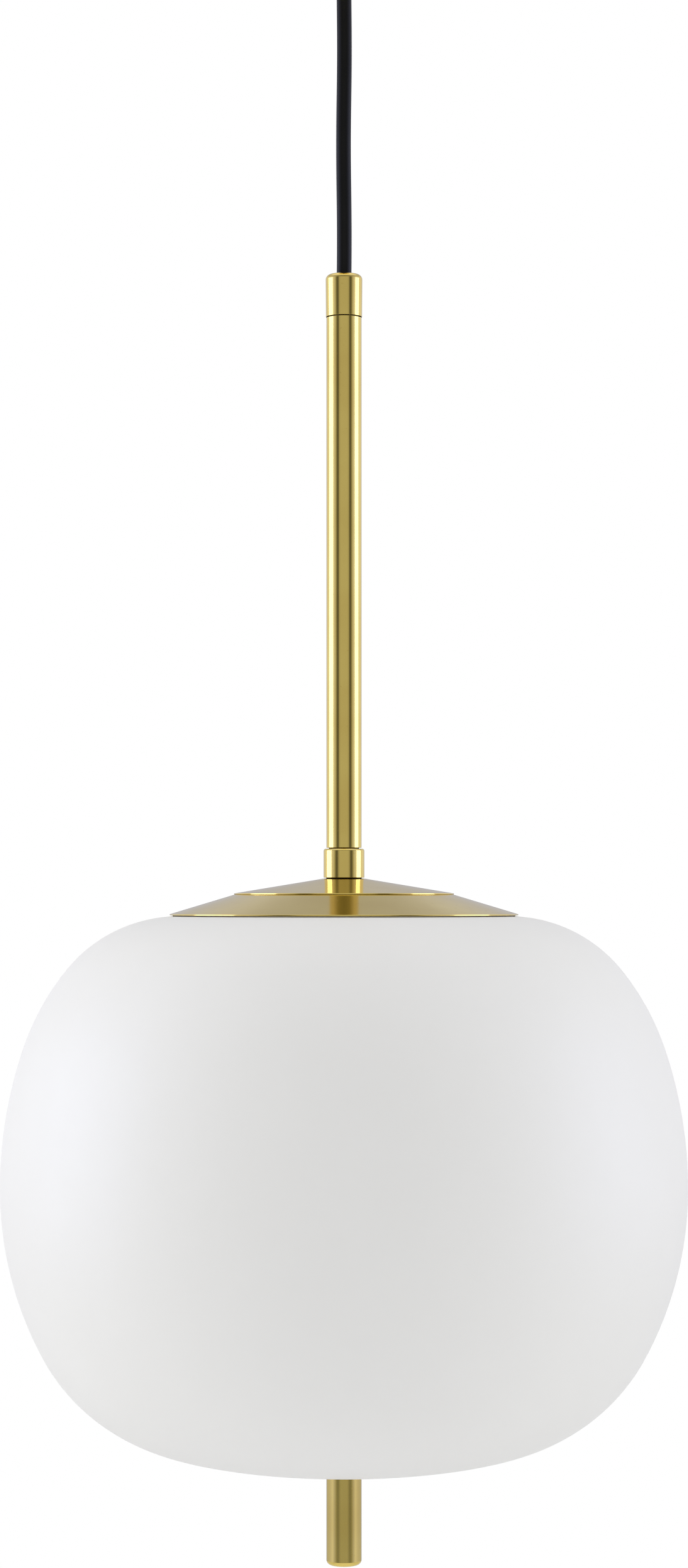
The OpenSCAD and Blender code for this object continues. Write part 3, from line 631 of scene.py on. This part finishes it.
def stem_parts():
    e = 0.2 * MM
    seam, step = 0.42 * MM, 0.45 * MM
    stem_r = rad("stem_tube")
    z0, z1 = low("stem_cap"), high("stem_cap")
    r = rad("stem_cap")
    foot_r = r - 0.15 * MM
    swing = z1 - 2 * MM
    thread_z = z1 - 10.5 * MM
    outline = rounded(
        [
            (3.9 * MM, swing, e),
            (4.6 * MM, z1, 0.35 * MM),
            *arc((r - 2.3 * MM, z1 - 2.3 * MM), 2.3 * MM, 90, 0, 10),
            (foot_r, z0 + seam, 0.12 * MM),
            (foot_r - 1 * MM, z0 + seam),
            (foot_r - 1 * MM, z0),
            (5 * MM, z0),
            (5 * MM, thread_z),
            (3.6 * MM, thread_z),
            (3.6 * MM, swing),
        ]
    )
    bm = bmesh.new()
    turned(bm, [at(*p) for p in outline], 160)
    grub_z = middle("cap_grub_screw")[2]
    bm = less(bm, drill((0, 4 * MM, grub_z), (0, r + 1 * MM, grub_z), 1.52 * MM))
    cap = finish_mesh("cap_turned", bm, MAT["stem"], "lamp", ("stem_cap",))
    # Painted shade in the seam under the cap's foot
    painted_seam_shade(cap, z0, z0 + seam, foot_r - 0.5 * MM)

    z0, z1 = low("stem_tube"), high("stem_tube")
    r = rad("stem_tube")
    outline = rounded(
        [(6.7 * MM, z0), (r, z0, 0.12 * MM), (r, z1, 0.12 * MM), (6.7 * MM, z1)]
    )
    lathe("tube_drawn", outline, MAT["stem"], "lamp", ("stem_tube",), 192)

    z0, z1 = low("collar"), high("collar")
    r = rad("collar")
    outline = rounded(
        [
            (5 * MM, z0),
            (r - 1.2 * MM, z0),
            (r - 1.2 * MM, z0 + seam),
            (r, z0 + seam, 0.12 * MM),
            (r, z1 - 1.1 * MM, 0.35 * MM),
            (r - 0.5 * MM, z1 - step, 0.3 * MM),
            (stem_r - 1.1 * MM, z1 - step),
            (stem_r - 1.1 * MM, z1),
            (5 * MM, z1),
        ]
    )
    collar = lathe(
        "collar_turned", outline, MAT["stem"], "lamp", ("collar",), 160
    )
    # Painted shade in the seams at the collar's foot and where the tube enters it
    painted_seam_shade(collar, z0, z0 + seam, r - 0.6 * MM)
    painted_seam_shade(collar, z1 - step, z1, stem_r - 0.4 * MM)

    z0, z1 = low("finial_pin"), high("finial_pin")
    r = rad("finial_pin")
    bore, depth = 3.05 * MM, 21 * MM
    outline = rounded(
        [
            (0, z0),
            *arc((r - 2.2 * MM, z0 + 2.2 * MM), 2.2 * MM, -90, 0, 12),
            (r, z1, 0.3 * MM),
            (bore, z1, 0.2 * MM),
            (bore, z1 - depth),
            (0, z1 - depth - 1.5 * MM),
        ]
    )
    lathe("pin_turned", outline, MAT["stem"], "finial", ("finial_pin",), 160)


def discs():
    r = rad("upper_disc")
    z0, z1 = low("upper_disc"), high("upper_disc")
    edge = 0.12 * MM
    outline = rounded(
        [
            (5 * MM, z1),
            (9 * MM, z1, 0.2 * MM),
            (r - 0.05 * MM, z0 + 0.62 * MM, edge),
            (r, z0 + 0.1 * MM, edge),
            (r - 0.25 * MM, z0),
            (r - 3 * MM, z0),
            (9.5 * MM, z1 - 1 * MM),
            (5 * MM, z1 - 1 * MM),
        ]
    )
    lathe("upper_disc_spun", outline, MAT["disc"], "lamp", ("upper_disc",), 256)

    r = rad("lower_disc")
    z0, z1 = low("lower_disc"), high("lower_disc")
    flat = 48.3 * MM
    fall = math.tan(math.radians(16.8))
    skin = 1.25 * MM
    inner = r - 5.3 * MM
    z_edge = z1 - (r - flat) * fall
    outline = rounded(
        [
            (5 * MM, z1),
            (flat, z1, 0.5 * MM),
            (r - 0.04 * MM, z_edge, edge),
            (r, z0 + 0.08 * MM, edge),
            (r - 0.3 * MM, z0),
            (inner, z0),
            (inner - 0.8 * MM, z1 - (inner - 0.8 * MM - flat) * fall - skin),
            (flat, z1 - skin),
            (flat - 0.5 * MM, z1 - 1.2 * MM),
            (5 * MM, z1 - 1.2 * MM),
        ]
    )
    lathe("lower_disc_spun", outline, MAT["disc"], "lamp", ("lower_disc",), 288)


# ---- Glass ----
def shade():
    wide_r = rad("glass_shade")
    top_z, seat_z = high("glass_shade"), low("glass_shade")
    wall = 3.5 * MM
    mouth_r, hole_r = 58 * MM, 5.5 * MM
    # Each tangent arc: its radius, and the angle at which it starts
    up = [(190, 0.0), (112, 18.6), (63, 38.5)]
    down = [(154, 0.0), (83.4, 28.3), (171, 75.0)]

    def arcs(rows, sign):
        out = []
        centre = Vector((wide_r - rows[0][0] * MM, 0))
        for i, (radius, start) in enumerate(rows):
            if i:
                a = math.radians(start)
                gap = (rows[i - 1][0] - radius) * MM
                centre = centre + gap * Vector((math.cos(a), sign * math.sin(a)))
            out.append((centre.copy(), radius * MM, start))
        return out

    def skin(rows, sign, inset, counts):
        ends = [start for _, _, start in rows[1:]] + [90]
        out = []
        for (centre, radius, start), end, count in zip(rows, ends, counts):
            out += arc(centre, radius - inset, sign * start, sign * end, count)[1:]
        return out

    over, under = arcs(up, 1), arcs(down, -1)
    wide_z = top_z - (over[2][0].y + over[2][1])
    counts_up, counts_down = (20, 20, 40), (26, 36, 16)
    half = wall / 2
    # The lip at the mouth is fire-polished; the foot hole's edges are ground
    lip = arc((mouth_r + half, top_z - half - wide_z), half, 270, 90, 12)
    foot = seat_z - wide_z
    start_r, ground = 20 * MM, 0.5 * MM
    hole = [(start_r, foot), (hole_r, foot, ground)]
    hole = rounded(hole + [(hole_r, foot + wall, ground), (start_r, foot + wall)])
    outline = lip + skin(over, 1, 0, counts_up)[::-1] + [(wide_r, 0)]
    outline += skin(under, -1, 0, counts_down)
    outline += hole + skin(under, -1, wall, counts_down)[::-1] + [(wide_r - wall, 0)]
    outline += skin(over, 1, wall, counts_up)[:-1]
    placed = [(r, z + wide_z) for r, z in outline]
    lathe("shade_blown", placed, MAT["opal"], "shade", ("glass_shade",), 256)

    ring_r = rad("rim_gasket")
    z0, z1 = low("rim_gasket"), high("rim_gasket")
    edge = 0.15 * MM
    inner = ring_r - 6.4 * MM
    outline = rounded(
        [(inner, z0, edge), (ring_r, z0, edge), (ring_r, z1, edge), (inner, z1, edge)]
    )
    lathe("gasket_ring", outline, MAT["silicone"], "shade", ("rim_gasket",), 192)

    z0, z1 = low("foot_seal"), high("foot_seal")
    flange_r, sleeve_r, bore = rad("foot_seal"), hole_r - 0.1 * MM, 3.3 * MM
    outline = rounded(
        [
            (bore, z0, edge),
            (flange_r, z0, 0.3 * MM),
            (flange_r, z0 + 1 * MM, 0.3 * MM),
            (sleeve_r, z0 + 1 * MM),
            (sleeve_r, z1, 0.3 * MM),
            (bore, z1, edge),
        ]
    )
    lathe("seal_moulded", outline, MAT["silicone"], "shade", ("foot_seal",), 96)


# ---- Studio ----
def studio():
    floor_z = -1.9
    bm = bmesh.new()
    bmesh.ops.create_circle(bm, cap_ends=True, radius=4.2, segments=96)
    mesh = bpy.data.meshes.new("floor")
    bm.to_mesh(mesh)
    bm.free()
    mat, n, shader = material("floor_paint", Roughness=0.7)
    paint = between(n, n.noise(n.place(), 1.3), (0.93, 0.93, 0.925), (0.9, 0.9, 0.895))
    n.link(paint, shader.inputs["Base Color"])
    mesh.materials.append(mat)
    floor = bpy.data.objects.new("floor", mesh)
    floor.location = (0, 0, floor_z)
    scene.collection.objects.link(floor)

    def softbox(where, turn, width, height, radiance, gloss, colour=(1, 1, 1)):
        """A rectangular light that is seen either in gloss alone or in matte surfaces alone."""
        light = bpy.data.lights.new("softbox", "AREA")
        light.shape = "RECTANGLE"
        light.size, light.size_y = width, height
        light.energy = radiance * math.pi * width * height
        light.color = colour
        box = bpy.data.objects.new("softbox", light)
        box.location = where
        box.rotation_euler = (math.pi / 2, 0, turn)
        box.visible_camera = False
        box.visible_diffuse = not gloss
        box.visible_glossy = gloss
        scene.collection.objects.link(box)

    side, cool = math.pi / 2, (0.62, 0.69, 1.0)
    softbox((-1.2, 0.09, -0.32), -side, 0.82, 0.9, 2.75, True, cool)
    softbox((1.2, 0.03, -0.32), side, 0.7, 0.9, 2.6, True, cool)
    softbox((-1.3, -0.1, -0.4), -side, 1.0, 1.2, 1.35, False)
    softbox((1.3, -0.1, -0.4), side, 1.0, 1.2, 0.85, False)
    softbox((0.05, -2.4, -0.2), 0, 2.0, 1.6, 1.24, False)

    world = bpy.data.worlds.new("studio")
    scene.world = world
    world.use_nodes = True
    n = Nodes(world.node_tree)
    split = n.add("ShaderNodeSeparateXYZ")
    n.link(n.add("ShaderNodeTexCoord").outputs["Generated"], split.inputs[0])
    x, y, z = split.outputs
    # Around the lamp, from 0 behind the camera to 1 behind the lamp:
    # a grey room, a dark gap, pale walls
    around = n.math("ARCTAN2", n.math("ABSOLUTE", x), n.math("MULTIPLY", y, -1.0))
    around = n.math("DIVIDE", around, math.pi)
    room = [(0, 0.57), (0.12, 0.57), (0.17, 0.45), (0.205, 0.14), (0.26, 0.14), (0.3, 0.5)]
    walls = [(0.37, 0.85), (0.6, 1.0), (0.72, 0.95), (0.86, 0.75), (1.0, 0.5)]
    level = n.ramp(around, room + walls)
    # Lower down the room is darker, with less contrast
    room = [(0, 0.42), (0.12, 0.42), (0.2, 0.27), (0.26, 0.27), (0.34, 0.52)]
    walls = [(0.45, 0.84), (0.58, 0.68), (1, 0.45)]
    below = n.ramp(around, room + walls)
    sink = n.ramp(n.math("MULTIPLY", z, -1.0), [(0.06, 0), (0.17, 1)])
    level = n.math("MULTIPLY_ADD", n.math("SUBTRACT", below, level), sink, level)
    above = n.ramp(around, [(0, 0.28), (0.25, 0.35), (0.5, 0.8), (0.75, 0.8), (1.0, 0.6)])
    rise = n.ramp(z, [(0.22, 0), (0.44, 1)])
    ceiling = n.ramp(z, [(0.68, 0), (0.82, 1)])
    high = n.math("MULTIPLY_ADD", n.math("SUBTRACT", above, level), rise, level)
    high = n.math("MULTIPLY", high, n.ramp(z, [(0.42, 1), (0.53, 0.8), (0.64, 0.84), (0.72, 1)]))
    strength = n.math("MULTIPLY_ADD", n.math("SUBTRACT", 1.1, high), ceiling, high)
    studio_light = n.add("ShaderNodeBackground")
    n.link(strength, studio_light.inputs["Strength"])
    # The pale walls look cool in gloss
    ray = n.add("ShaderNodeLightPath")
    cooler = n.ramp(around, [(0.27, 0), (0.37, 1), (0.8, 0.4)])
    tint = n.math("MULTIPLY", cooler, ray.outputs["Is Glossy Ray"])
    n.link(between(n, tint, (1, 1, 1), (0.94, 0.95, 1.3)), studio_light.inputs["Color"])
    seen = n.add("ShaderNodeBackground")
    seen.inputs["Color"].default_value = (1, 1, 1, 1)
    seen.inputs["Strength"].default_value = 1.0
    mix = n.add("ShaderNodeMixShader")
    n.link(ray.outputs["Is Camera Ray"], mix.inputs[0])
    n.link(studio_light.outputs[0], mix.inputs[1])
    n.link(seen.outputs[0], mix.inputs[2])
    out = n.add("ShaderNodeOutputWorld")
    n.link(mix.outputs[0], out.inputs[0])


# ---- Canopy ----
def canopy():
    r, z0, z1 = rad("canopy_cup"), low("canopy_cup"), high("canopy_cup")
    wall, neck = 1.2 * MM, 5 * MM
    bend = 3 * MM
    screw_z = middle("canopy_screws")[2]
    outline = [(r - wall, z1 - 0.1 * MM), (r - wall + 0.2 * MM, z1)]
    outline += [(r - 0.4 * MM, z1), (r, z1 - 0.4 * MM)]
    outline += arc((r - bend, z0 + bend), bend, 0, -90, 14)
    outline += [(neck, z0), (neck, z0 + wall)]
    outline += arc((r - bend, z0 + bend), bend - wall, -90, 0, 14)
    bm = bmesh.new()
    turned(bm, [at(*p) for p in outline], 224)
    reach = r + 2 * MM
    bm = less(bm, drill((-reach, 0, screw_z), (reach, 0, screw_z), 2.05 * MM))
    finish_mesh("cup_spun", bm, MAT["cup"], "canopy", ("canopy_cup",))

    def side_screw():
        return screw(2 * MM, 3.4 * MM, 0.7 * MM, 0.8 * MM, 1 * MM, 3.5 * MM, 2.5 * MM)

    right = placed(side_screw(), (r, 0, screw_z), TO_X)
    left = placed(side_screw(), (-r, 0, screw_z), TO_MINUS_X)
    bm = joined(right, left)
    finish_mesh("side_screws", bm, MAT["cup"], "canopy", ("canopy_screws",))

    # Cord grip: a turned bush with a threaded neck through the cup and the strap
    r, z0, z1 = rad("cord_grip"), low("cord_grip"), high("cord_grip")
    floor = low("canopy_cup")
    swing = high("cord") - CORD_R
    bore, throat, mouth = 3.6 * MM, 3.95 * MM, 5.2 * MM
    edge = 1 * MM
    rings = [at(throat, swing), at(mouth - 0.35 * MM, z0 + 0.6 * MM), at(mouth, z0)]
    rings += [at(*p) for p in arc((r - edge, z0 + edge), edge, -90, 0, 8)]
    groove = floor - 2 * MM
    rings += [at(r, groove - 0.5 * MM), at(r - 0.35 * MM, groove - 0.3 * MM)]
    rings += [at(r - 0.35 * MM, groove), at(r, groove + 0.2 * MM)]
    rings += [at(r, floor - 0.3 * MM), at(r - 0.3 * MM, floor), at(neck - 0.4 * MM, floor)]
    rings += thread(floor + 0.2 * MM, z1 - 0.2 * MM, neck, 1 * MM)
    rings += [at(neck - 0.8 * MM, z1), at(bore, z1), at(bore, swing)]
    bm = bmesh.new()
    turned(bm, rings, 96)
    grub_z = middle("grip_screw")[2]
    bm = less(bm, drill((0, 3.4 * MM, grub_z), (0, r + 1 * MM, grub_z), 1.52 * MM))
    finish_mesh("grip_turned", bm, MAT["cup"], "canopy", ("cord_grip",))
    grub("grip_screw", "canopy")

    washer("grip_washer", 5.05 * MM)
    nut("grip_nut", 17 * MM, 4.6 * MM)
    refine("terminal_strap", MAT["galvanised"], 0.2 * MM)
    refine("terminal_block", MAT["white"], 0.25 * MM)
    refine("terminal_inserts", MAT["raw"], 0.15 * MM)
    refine("earth_lug", MAT["zinc"], 0.12 * MM)

    lo, hi = BOX["terminal_screws"]
    r = 1.2 * MM
    screws = []
    for x in (lo[0] + r, hi[0] - r):
        for y in (lo[1] + r, 0, hi[1] - r):
            clamp = screw(r, hi[2] - lo[2], 0.5 * MM, 0.6 * MM, 0.7 * MM)
            screws.append(placed(clamp, (x, y, hi[2])))
    bm = joined(*screws)
    finish_mesh("clamp_screws", bm, MAT["zinc"], "canopy", ("terminal_screws",))

    x, y, _ = middle("block_screw")
    top = high("block_screw") - 2 * MM
    bm = screw(1.5 * MM, top - low("block_screw"), 0.5 * MM, 0.8 * MM, 0.8 * MM, 1.9 * MM, 2 * MM)
    bm = placed(bm, (x, y, top))
    finish_mesh("fixing_screw", bm, MAT["zinc"], "canopy", ("block_screw",))

    def earth_screw(name, node, body, seat, turn):
        x, y, _ = middle(node)
        bm = screw(2 * MM, 2 * MM, 0.7 * MM, 0.8 * MM, 1 * MM, 3.5 * MM, 2.4 * MM)
        finish_mesh(name, placed(bm, (x, y, seat), turn), MAT["raw"], body, (node,))

    head = 2.4 * MM
    seat = high("strap_earth_screw") - head
    earth_screw("strap_screw", "strap_earth_screw", "canopy", seat, None)
    seat = low("bracket_earth_screw") + head
    earth_screw("bracket_screw", "bracket_earth_screw", "ceiling", seat, DOWN)
    refine("ceiling_bracket", MAT["galvanised"], 0.3 * MM)


def grub(node, body):
    """A slotted grub screw that points along +Y."""
    lo, hi = BOX[node]
    x, _, z = middle(node)
    bm = screw(1.5 * MM, hi[1] - lo[1], 0.5 * MM, 0.77 * MM, 0.93 * MM)
    bm = placed(bm, (x, hi[1], z), TO_Y)
    finish_mesh(node + "_cut", bm, MAT["black_steel"], body, (node,))


def washer(node, bore, mat="zinc", edge=0.2 * MM, steps=96):
    r, z0, z1 = rad(node), low(node), high(node)
    outline = rounded([(bore, z0, edge), (r, z0, edge), (r, z1, edge), (bore, z1, edge)])
    lathe(node + "_made", outline, MAT[mat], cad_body(node), (node,), steps)


def nut(node, across, bore):
    bm = hex_nut(low(node), high(node), across, bore)
    finish_mesh(node + "_made", bm, MAT["zinc"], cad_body(node), (node,))


# ---- Wires and the cord's ends ----
def bezier(a, b, c, d, count):
    a, b, c, d = (Vector(p) for p in (a, b, c, d))
    out = []
    for i in range(count + 1):
        t = i / count
        s = 1 - t
        out.append(s**3 * a + 3 * s * s * t * b + 3 * s * t * t * c + t**3 * d)
    return out


def wire(node, route, r, mat):
    obj = run(node + "_run", route, r, mat, 6, 3)
    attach(obj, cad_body(node))
    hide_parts(node)


def wires():
    tail_top = high("cord_tail")
    block_x = BOX["terminal_block"][0][0]
    pole_z = middle("terminal_inserts")[2]
    pole_y = BOX["terminal_inserts"][1][1] - 1.9 * MM
    for node, side, mat in (("canopy_live_wire", 1, "brown"), ("canopy_neutral_wire", -1, "blue")):
        a = Vector((0.95 * MM, side * 1.5 * MM, tail_top))
        b = Vector((block_x - 4 * MM, side * pole_y, pole_z))
        route = bezier(a, a + Vector((0, 0, 9 * MM)), b - Vector((13 * MM, 0, 0)), b, 16)
        route += [b + Vector((x * MM, 0, 0)) for x in (2, 4, 8, 12)]
        wire(node, route, 0.9 * MM, mat)
    a = Vector((-1.7 * MM, 0, tail_top))
    b = Vector((BOX["earth_lug"][1][0] + 1.5 * MM, 0, low("earth_lug") + 1.9 * MM))
    route = bezier(a, a + Vector((0, 0, 9 * MM)), b + Vector((9 * MM, 0, 6 * MM)), b, 16)
    route += [b - Vector((x * MM, 0, 0)) for x in (1.5, 3.6)]
    wire("canopy_earth_wire", route, 0.9 * MM, "earth")

    stub_end, nipple_end = low("cord_stub"), low("lower_nipple") - 0.5 * MM
    terminal_top = high("holder_terminals")
    cores = (
        ("lamp_live_wire", 1, 0, "brown"),
        ("lamp_neutral_wire", -1, 0, "blue"),
        ("lamp_earth_wire", 0, 1, "earth"),
    )
    for node, cx, cy, mat in cores:
        side = Vector((cx, cy, 0))
        top = side * 1.7 * MM + Vector((0, 0, stub_end))
        mid = side * 1.7 * MM + Vector((0, 0, nipple_end))
        foot = side * 10.5 * MM + Vector((0, 0, terminal_top))
        route = [top.lerp(mid, t / 8) for t in range(8)]
        leaving, landing = Vector((0, 0, 5.5 * MM)), Vector((0, 0, 7 * MM))
        route += bezier(mid, mid - leaving, foot + landing, foot, 12)
        wire(node, route, 1.1 * MM, mat)

    # Both ends of the cord, where its sheath is cut back to the cores
    for node, cut_up in (("cord_tail", True), ("cord_stub", False)):
        z0, z1 = low(node), high(node)
        cut, held = (z1, z0) if cut_up else (z0, z1)
        inward = -1 if cut_up else 1
        skin = CORD_R
        outline = [(0, held), (skin - 0.2 * MM, held), (skin, held - inward * 0.2 * MM)]
        outline += [(skin, cut + inward * 0.3 * MM), (skin - 0.3 * MM, cut), (skin - 0.9 * MM, cut)]
        outline += [(skin - 1 * MM, cut + inward * 0.5 * MM), (0, cut + inward * 0.5 * MM)]
        lathe(node + "_cut", outline, MAT["cord"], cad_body(node), (node,), 48)


# ---- Inside the stem and under the discs ----
def nipple(node):
    z0, z1 = low(node), high(node)
    r, bore = 5 * MM, 3.9 * MM
    rings = [at(bore, z0 + 0.2 * MM), at(bore + 0.2 * MM, z0), at(r - 0.7 * MM, z0)]
    rings += thread(z0 + 0.2 * MM, z1 - 0.2 * MM, r, 1 * MM)
    rings += [at(r - 0.7 * MM, z1), at(bore + 0.2 * MM, z1), at(bore, z1 - 0.2 * MM)]
    bm = bmesh.new()
    turned(bm, rings, 40)
    finish_mesh(node + "_threaded", bm, MAT["zinc"], "lamp", (node,))


def yoke():
    refine("yoke_top_bar", MAT["galvanised"], 0.3 * MM)
    refine("yoke_bottom_bar", MAT["galvanised"], 0.3 * MM)
    r, thin = 3 * MM, 2.5 * MM
    upper, lower = low("yoke_top_bar") - 4 * MM, high("yoke_bottom_bar")
    for node in ("yoke_rod_left", "yoke_rod_right"):
        x = middle(node)[0]
        z0, z1 = low(node), high(node)
        rings = [at(0, z0), at(thin - 0.5 * MM, z0)]
        rings += thread(z0 + 0.2 * MM, lower - 0.1 * MM, thin, 0.8 * MM)
        rings += [at(thin - 0.3 * MM, lower), at(r - 0.3 * MM, lower), at(r, lower + 0.3 * MM)]
        rings += [at(r, upper - 0.3 * MM), at(r - 0.3 * MM, upper), at(thin - 0.3 * MM, upper)]
        rings += thread(upper + 0.1 * MM, z1 - 0.2 * MM, thin, 0.8 * MM)
        rings += [at(thin - 0.5 * MM, z1), at(0, z1)]
        bm = bmesh.new()
        turned(bm, rings, 40, (x, 0))
        finish_mesh(node + "_threaded", bm, MAT["zinc"], "lamp", (node,))

    z0, z1 = low("finial_stud"), high("finial_stud")
    rings = [at(0, z0), at(r - 0.8 * MM, z0), *thread(z0 + 0.2 * MM, z1 - 0.2 * MM, r, 1 * MM)]
    rings += [at(r - 0.8 * MM, z1), at(0, z1)]
    bm = bmesh.new()
    turned(bm, rings, 40)
    finish_mesh("stud_threaded", bm, MAT["zinc"], "lamp", ("finial_stud",))

    rod_x = middle("yoke_rod_right")[0]
    z0, z1 = low("yoke_nuts"), high("yoke_nuts")
    nuts = [
        hex_nut(a, a + 4 * MM, 8 * MM, thin - 0.3 * MM, (x, 0))
        for x in (-rod_x, rod_x)
        for a in (z0, z1 - 4 * MM)
    ]
    finish_mesh("rod_nuts", joined(*nuts), MAT["zinc"], "lamp", ("yoke_nuts",))
    z0, z1 = low("stud_nuts"), high("stud_nuts")
    nuts = [hex_nut(a, a + 5 * MM, 10 * MM, r - 0.4 * MM) for a in (z0, z1 - 5 * MM)]
    finish_mesh(
        "stud_lock_nuts", joined(*nuts), MAT["zinc"], "lamp", ("stud_nuts",)
    )


def holder():
    z, z_skirt = high("holder_cap") - 6 * MM, low("holder_cap")
    r, top = rad("holder_cap"), high("holder_cap")
    neck, bore = 7 * MM, 5 * MM
    outline = rounded(
        [
            (bore, top),
            (neck, top, 0.4 * MM),
            (neck, z, 0.8 * MM),
            (15 * MM, z - 0.8 * MM, 2.5 * MM),
            (18.4 * MM, z - 2.6 * MM, 2 * MM),
            (20.1 * MM, z - 5.6 * MM, 2 * MM),
            (r, z - 8 * MM, 1 * MM),
            (r, z_skirt + 2.2 * MM, 0.2 * MM),
            (r - 0.3 * MM, z_skirt + 1.9 * MM, 0.2 * MM),
            (r, z_skirt + 1.6 * MM, 0.2 * MM),
            (r, z_skirt, 0.25 * MM),
            (r - 1 * MM, z_skirt),
            (r - 1 * MM, z - 8 * MM),
            (19.1 * MM, z - 6 * MM),
            (17.8 * MM, z - 3.4 * MM),
            (14.8 * MM, z - 1.9 * MM),
            (bore, z - 1 * MM),
        ]
    )
    lathe("holder_cap_spun", outline, MAT["cup"], "lamp", ("holder_cap",))

    r, z0, z1 = rad("holder_shell"), low("holder_shell"), high("holder_shell")
    inner, lip = r - 0.9 * MM, 14.6 * MM
    outline = [(inner, z1), (r, z1)]
    for bead in (16, 14, 12):
        zb = z0 + bead * MM
        outline += [(r, zb + 0.6 * MM), (r - 0.3 * MM, zb + 0.3 * MM)]
        outline += [(r - 0.3 * MM, zb - 0.3 * MM), (r, zb - 0.6 * MM)]
    outline += [(r, z0 + 1 * MM), *arc((r - 1 * MM, z0 + 1 * MM), 1 * MM, -10, -90, 6)]
    outline += [(lip + 0.3 * MM, z0), (lip, z0 + 0.3 * MM)]
    outline += [(lip, z0 + 2 * MM), (inner, z0 + 2 * MM)]
    lathe("holder_shell_spun", outline, MAT["cup"], "lamp", ("holder_shell",))

    r, z0, z1 = rad("holder_insert"), low("holder_insert"), high("holder_insert")
    hole, deep = 1.5 * MM, 2 * MM
    outline = [(0, z1), (r, z1, 0.9 * MM), (r, z0, 0.9 * MM)]
    outline = rounded(outline + [(hole, z0), (hole, z0 + deep), (0, z0 + deep)], 6)
    lathe(
        "holder_porcelain", outline, MAT["porcelain"], "lamp", ("holder_insert",), 96
    )

    # The pressed screw sleeve: one helical wave through its whole wall
    r, z0, z1 = rad("holder_thread"), low("holder_thread"), high("holder_thread")
    pitch, skin, wave = 3.63 * MM, 0.2 * MM, 0.2 * MM
    rows = 64

    def sleeve(k, inset):
        z = z0 + (z1 - z0) * k / rows
        fade = min(1.0, abs(z - z0) / pitch, abs(z1 - z) / pitch)

        def ring(a):
            swing = math.cos(2 * math.pi * (z / pitch) - a)
            return r - wave - inset + wave * fade * swing, z

        return ring

    rings = [sleeve(k, 0) for k in range(rows + 1)] + [sleeve(k, skin) for k in range(rows, -1, -1)]
    bm = bmesh.new()
    turned(bm, rings, 96)
    finish_mesh("holder_sleeve", bm, MAT["raw"], "lamp", ("holder_thread",))
    refine("holder_contact", MAT["raw"], 0.1 * MM)
    refine("holder_terminals", MAT["raw"], 0.3 * MM)


def bulb():
    tip, base = high("bulb_contact"), low("bulb_contact")
    r = rad("bulb_contact")
    outline = [(0, base), (r, base), (r, base + 0.3 * MM), (r - 0.3 * MM, tip - 0.35 * MM)]
    outline += [(r - 1.2 * MM, tip - 0.1 * MM), (r - 2.4 * MM, tip), (0, tip)]
    lathe("bulb_solder", outline, MAT["solder"], "bulb", ("bulb_contact",), 48)

    r, z0, z1 = rad("bulb_insulator"), low("bulb_insulator"), high("bulb_insulator")
    outline = rounded([(0, z0), (r, z0, 0.3 * MM), (5.1 * MM, z1, 0.8 * MM), (0, z1)], 6)
    glass = MAT["black_glass"]
    lathe("bulb_black_glass", outline, glass, "bulb", ("bulb_insulator",), 96)

    top, z0 = high("bulb_cap"), low("bulb_cap")
    crest, neck, pitch, depth = 13.2 * MM, rad("bulb_cap"), 3.63 * MM, 0.9 * MM
    start, end = top - 2 * MM, z0 + 5 * MM
    rows = 48

    def wave(k):
        z = start + (end - start) * k / rows
        fade = min(1.0, (start - z) / pitch * 2, (z - end) / pitch * 2)

        def ring(a):
            swing = 0.5 + 0.5 * math.cos(2 * math.pi * (z / pitch) - a)
            return crest - depth * (1 - fade * swing), z

        return ring

    rings = [at(10 * MM, top), at(11 * MM, top), at(crest - depth - 0.4 * MM, top - 1.2 * MM)]
    rings += [wave(k) for k in range(rows + 1)]
    rings += [at(crest - depth, z0 + 4 * MM), at(crest - depth + 0.2 * MM, z0 + 3.2 * MM)]
    rings += [at(neck - 0.4 * MM, z0 + 2.4 * MM), at(neck, z0 + 2 * MM)]
    rings += [at(neck, z0 + 0.2 * MM), at(neck - 0.2 * MM, z0), at(neck - 1.6 * MM, z0)]
    rings += [at(neck - 2.3 * MM, z0 + 3 * MM), at(neck - 2.3 * MM, top - 2.8 * MM)]
    rings += [at(10 * MM, top - 1 * MM)]
    bm = bmesh.new()
    turned(bm, rings, 96)
    finish_mesh("bulb_screw_cap", bm, MAT["nickel"], "bulb", ("bulb_cap",))

    r, z_low, z_neck = rad("bulb_envelope"), low("bulb_envelope"), low("bulb_cap")
    wall, neck, join = 1 * MM, rad("bulb_cap"), 32

    def skin(inset):
        centre = (0, z_low + r)
        a = math.radians(join)
        knee = Vector((0, (r - inset) * math.cos(a), centre[1] + (r - inset) * math.sin(a)))
        way = Vector((0, math.sin(a), -math.cos(a))) * 16 * MM
        start = Vector((0, neck - inset, z_neck))
        down = start - Vector((0, 0, 16 * MM))
        side = [(p.y, p.z) for p in bezier(start, down, knee - way, knee, 24)]
        round_end = arc(centre, r - inset, join, -90, 48)[1:-1]
        return side + round_end + [(0, centre[1] - r + inset)]

    outline = skin(0) + skin(wall)[::-1]
    lathe("bulb_blown", outline, MAT["frosted"], "bulb", ("bulb_envelope",))


canopy()
wires()
grub("cap_grub_screw", "lamp")
for name in ("top_nipple", "lower_nipple"):
    nipple(name)
for name in ("stem_top_insert", "stem_bottom_insert"):
    washer(name, 5 * MM, "raw", 0.4 * MM)
washer("disc_spacer", 5 * MM)
washer("lock_washer", 5 * MM)
nut("lock_nut", 17 * MM, 4.6 * MM)
yoke()
holder()
bulb()
stem_parts()
discs()
shade()
studio()
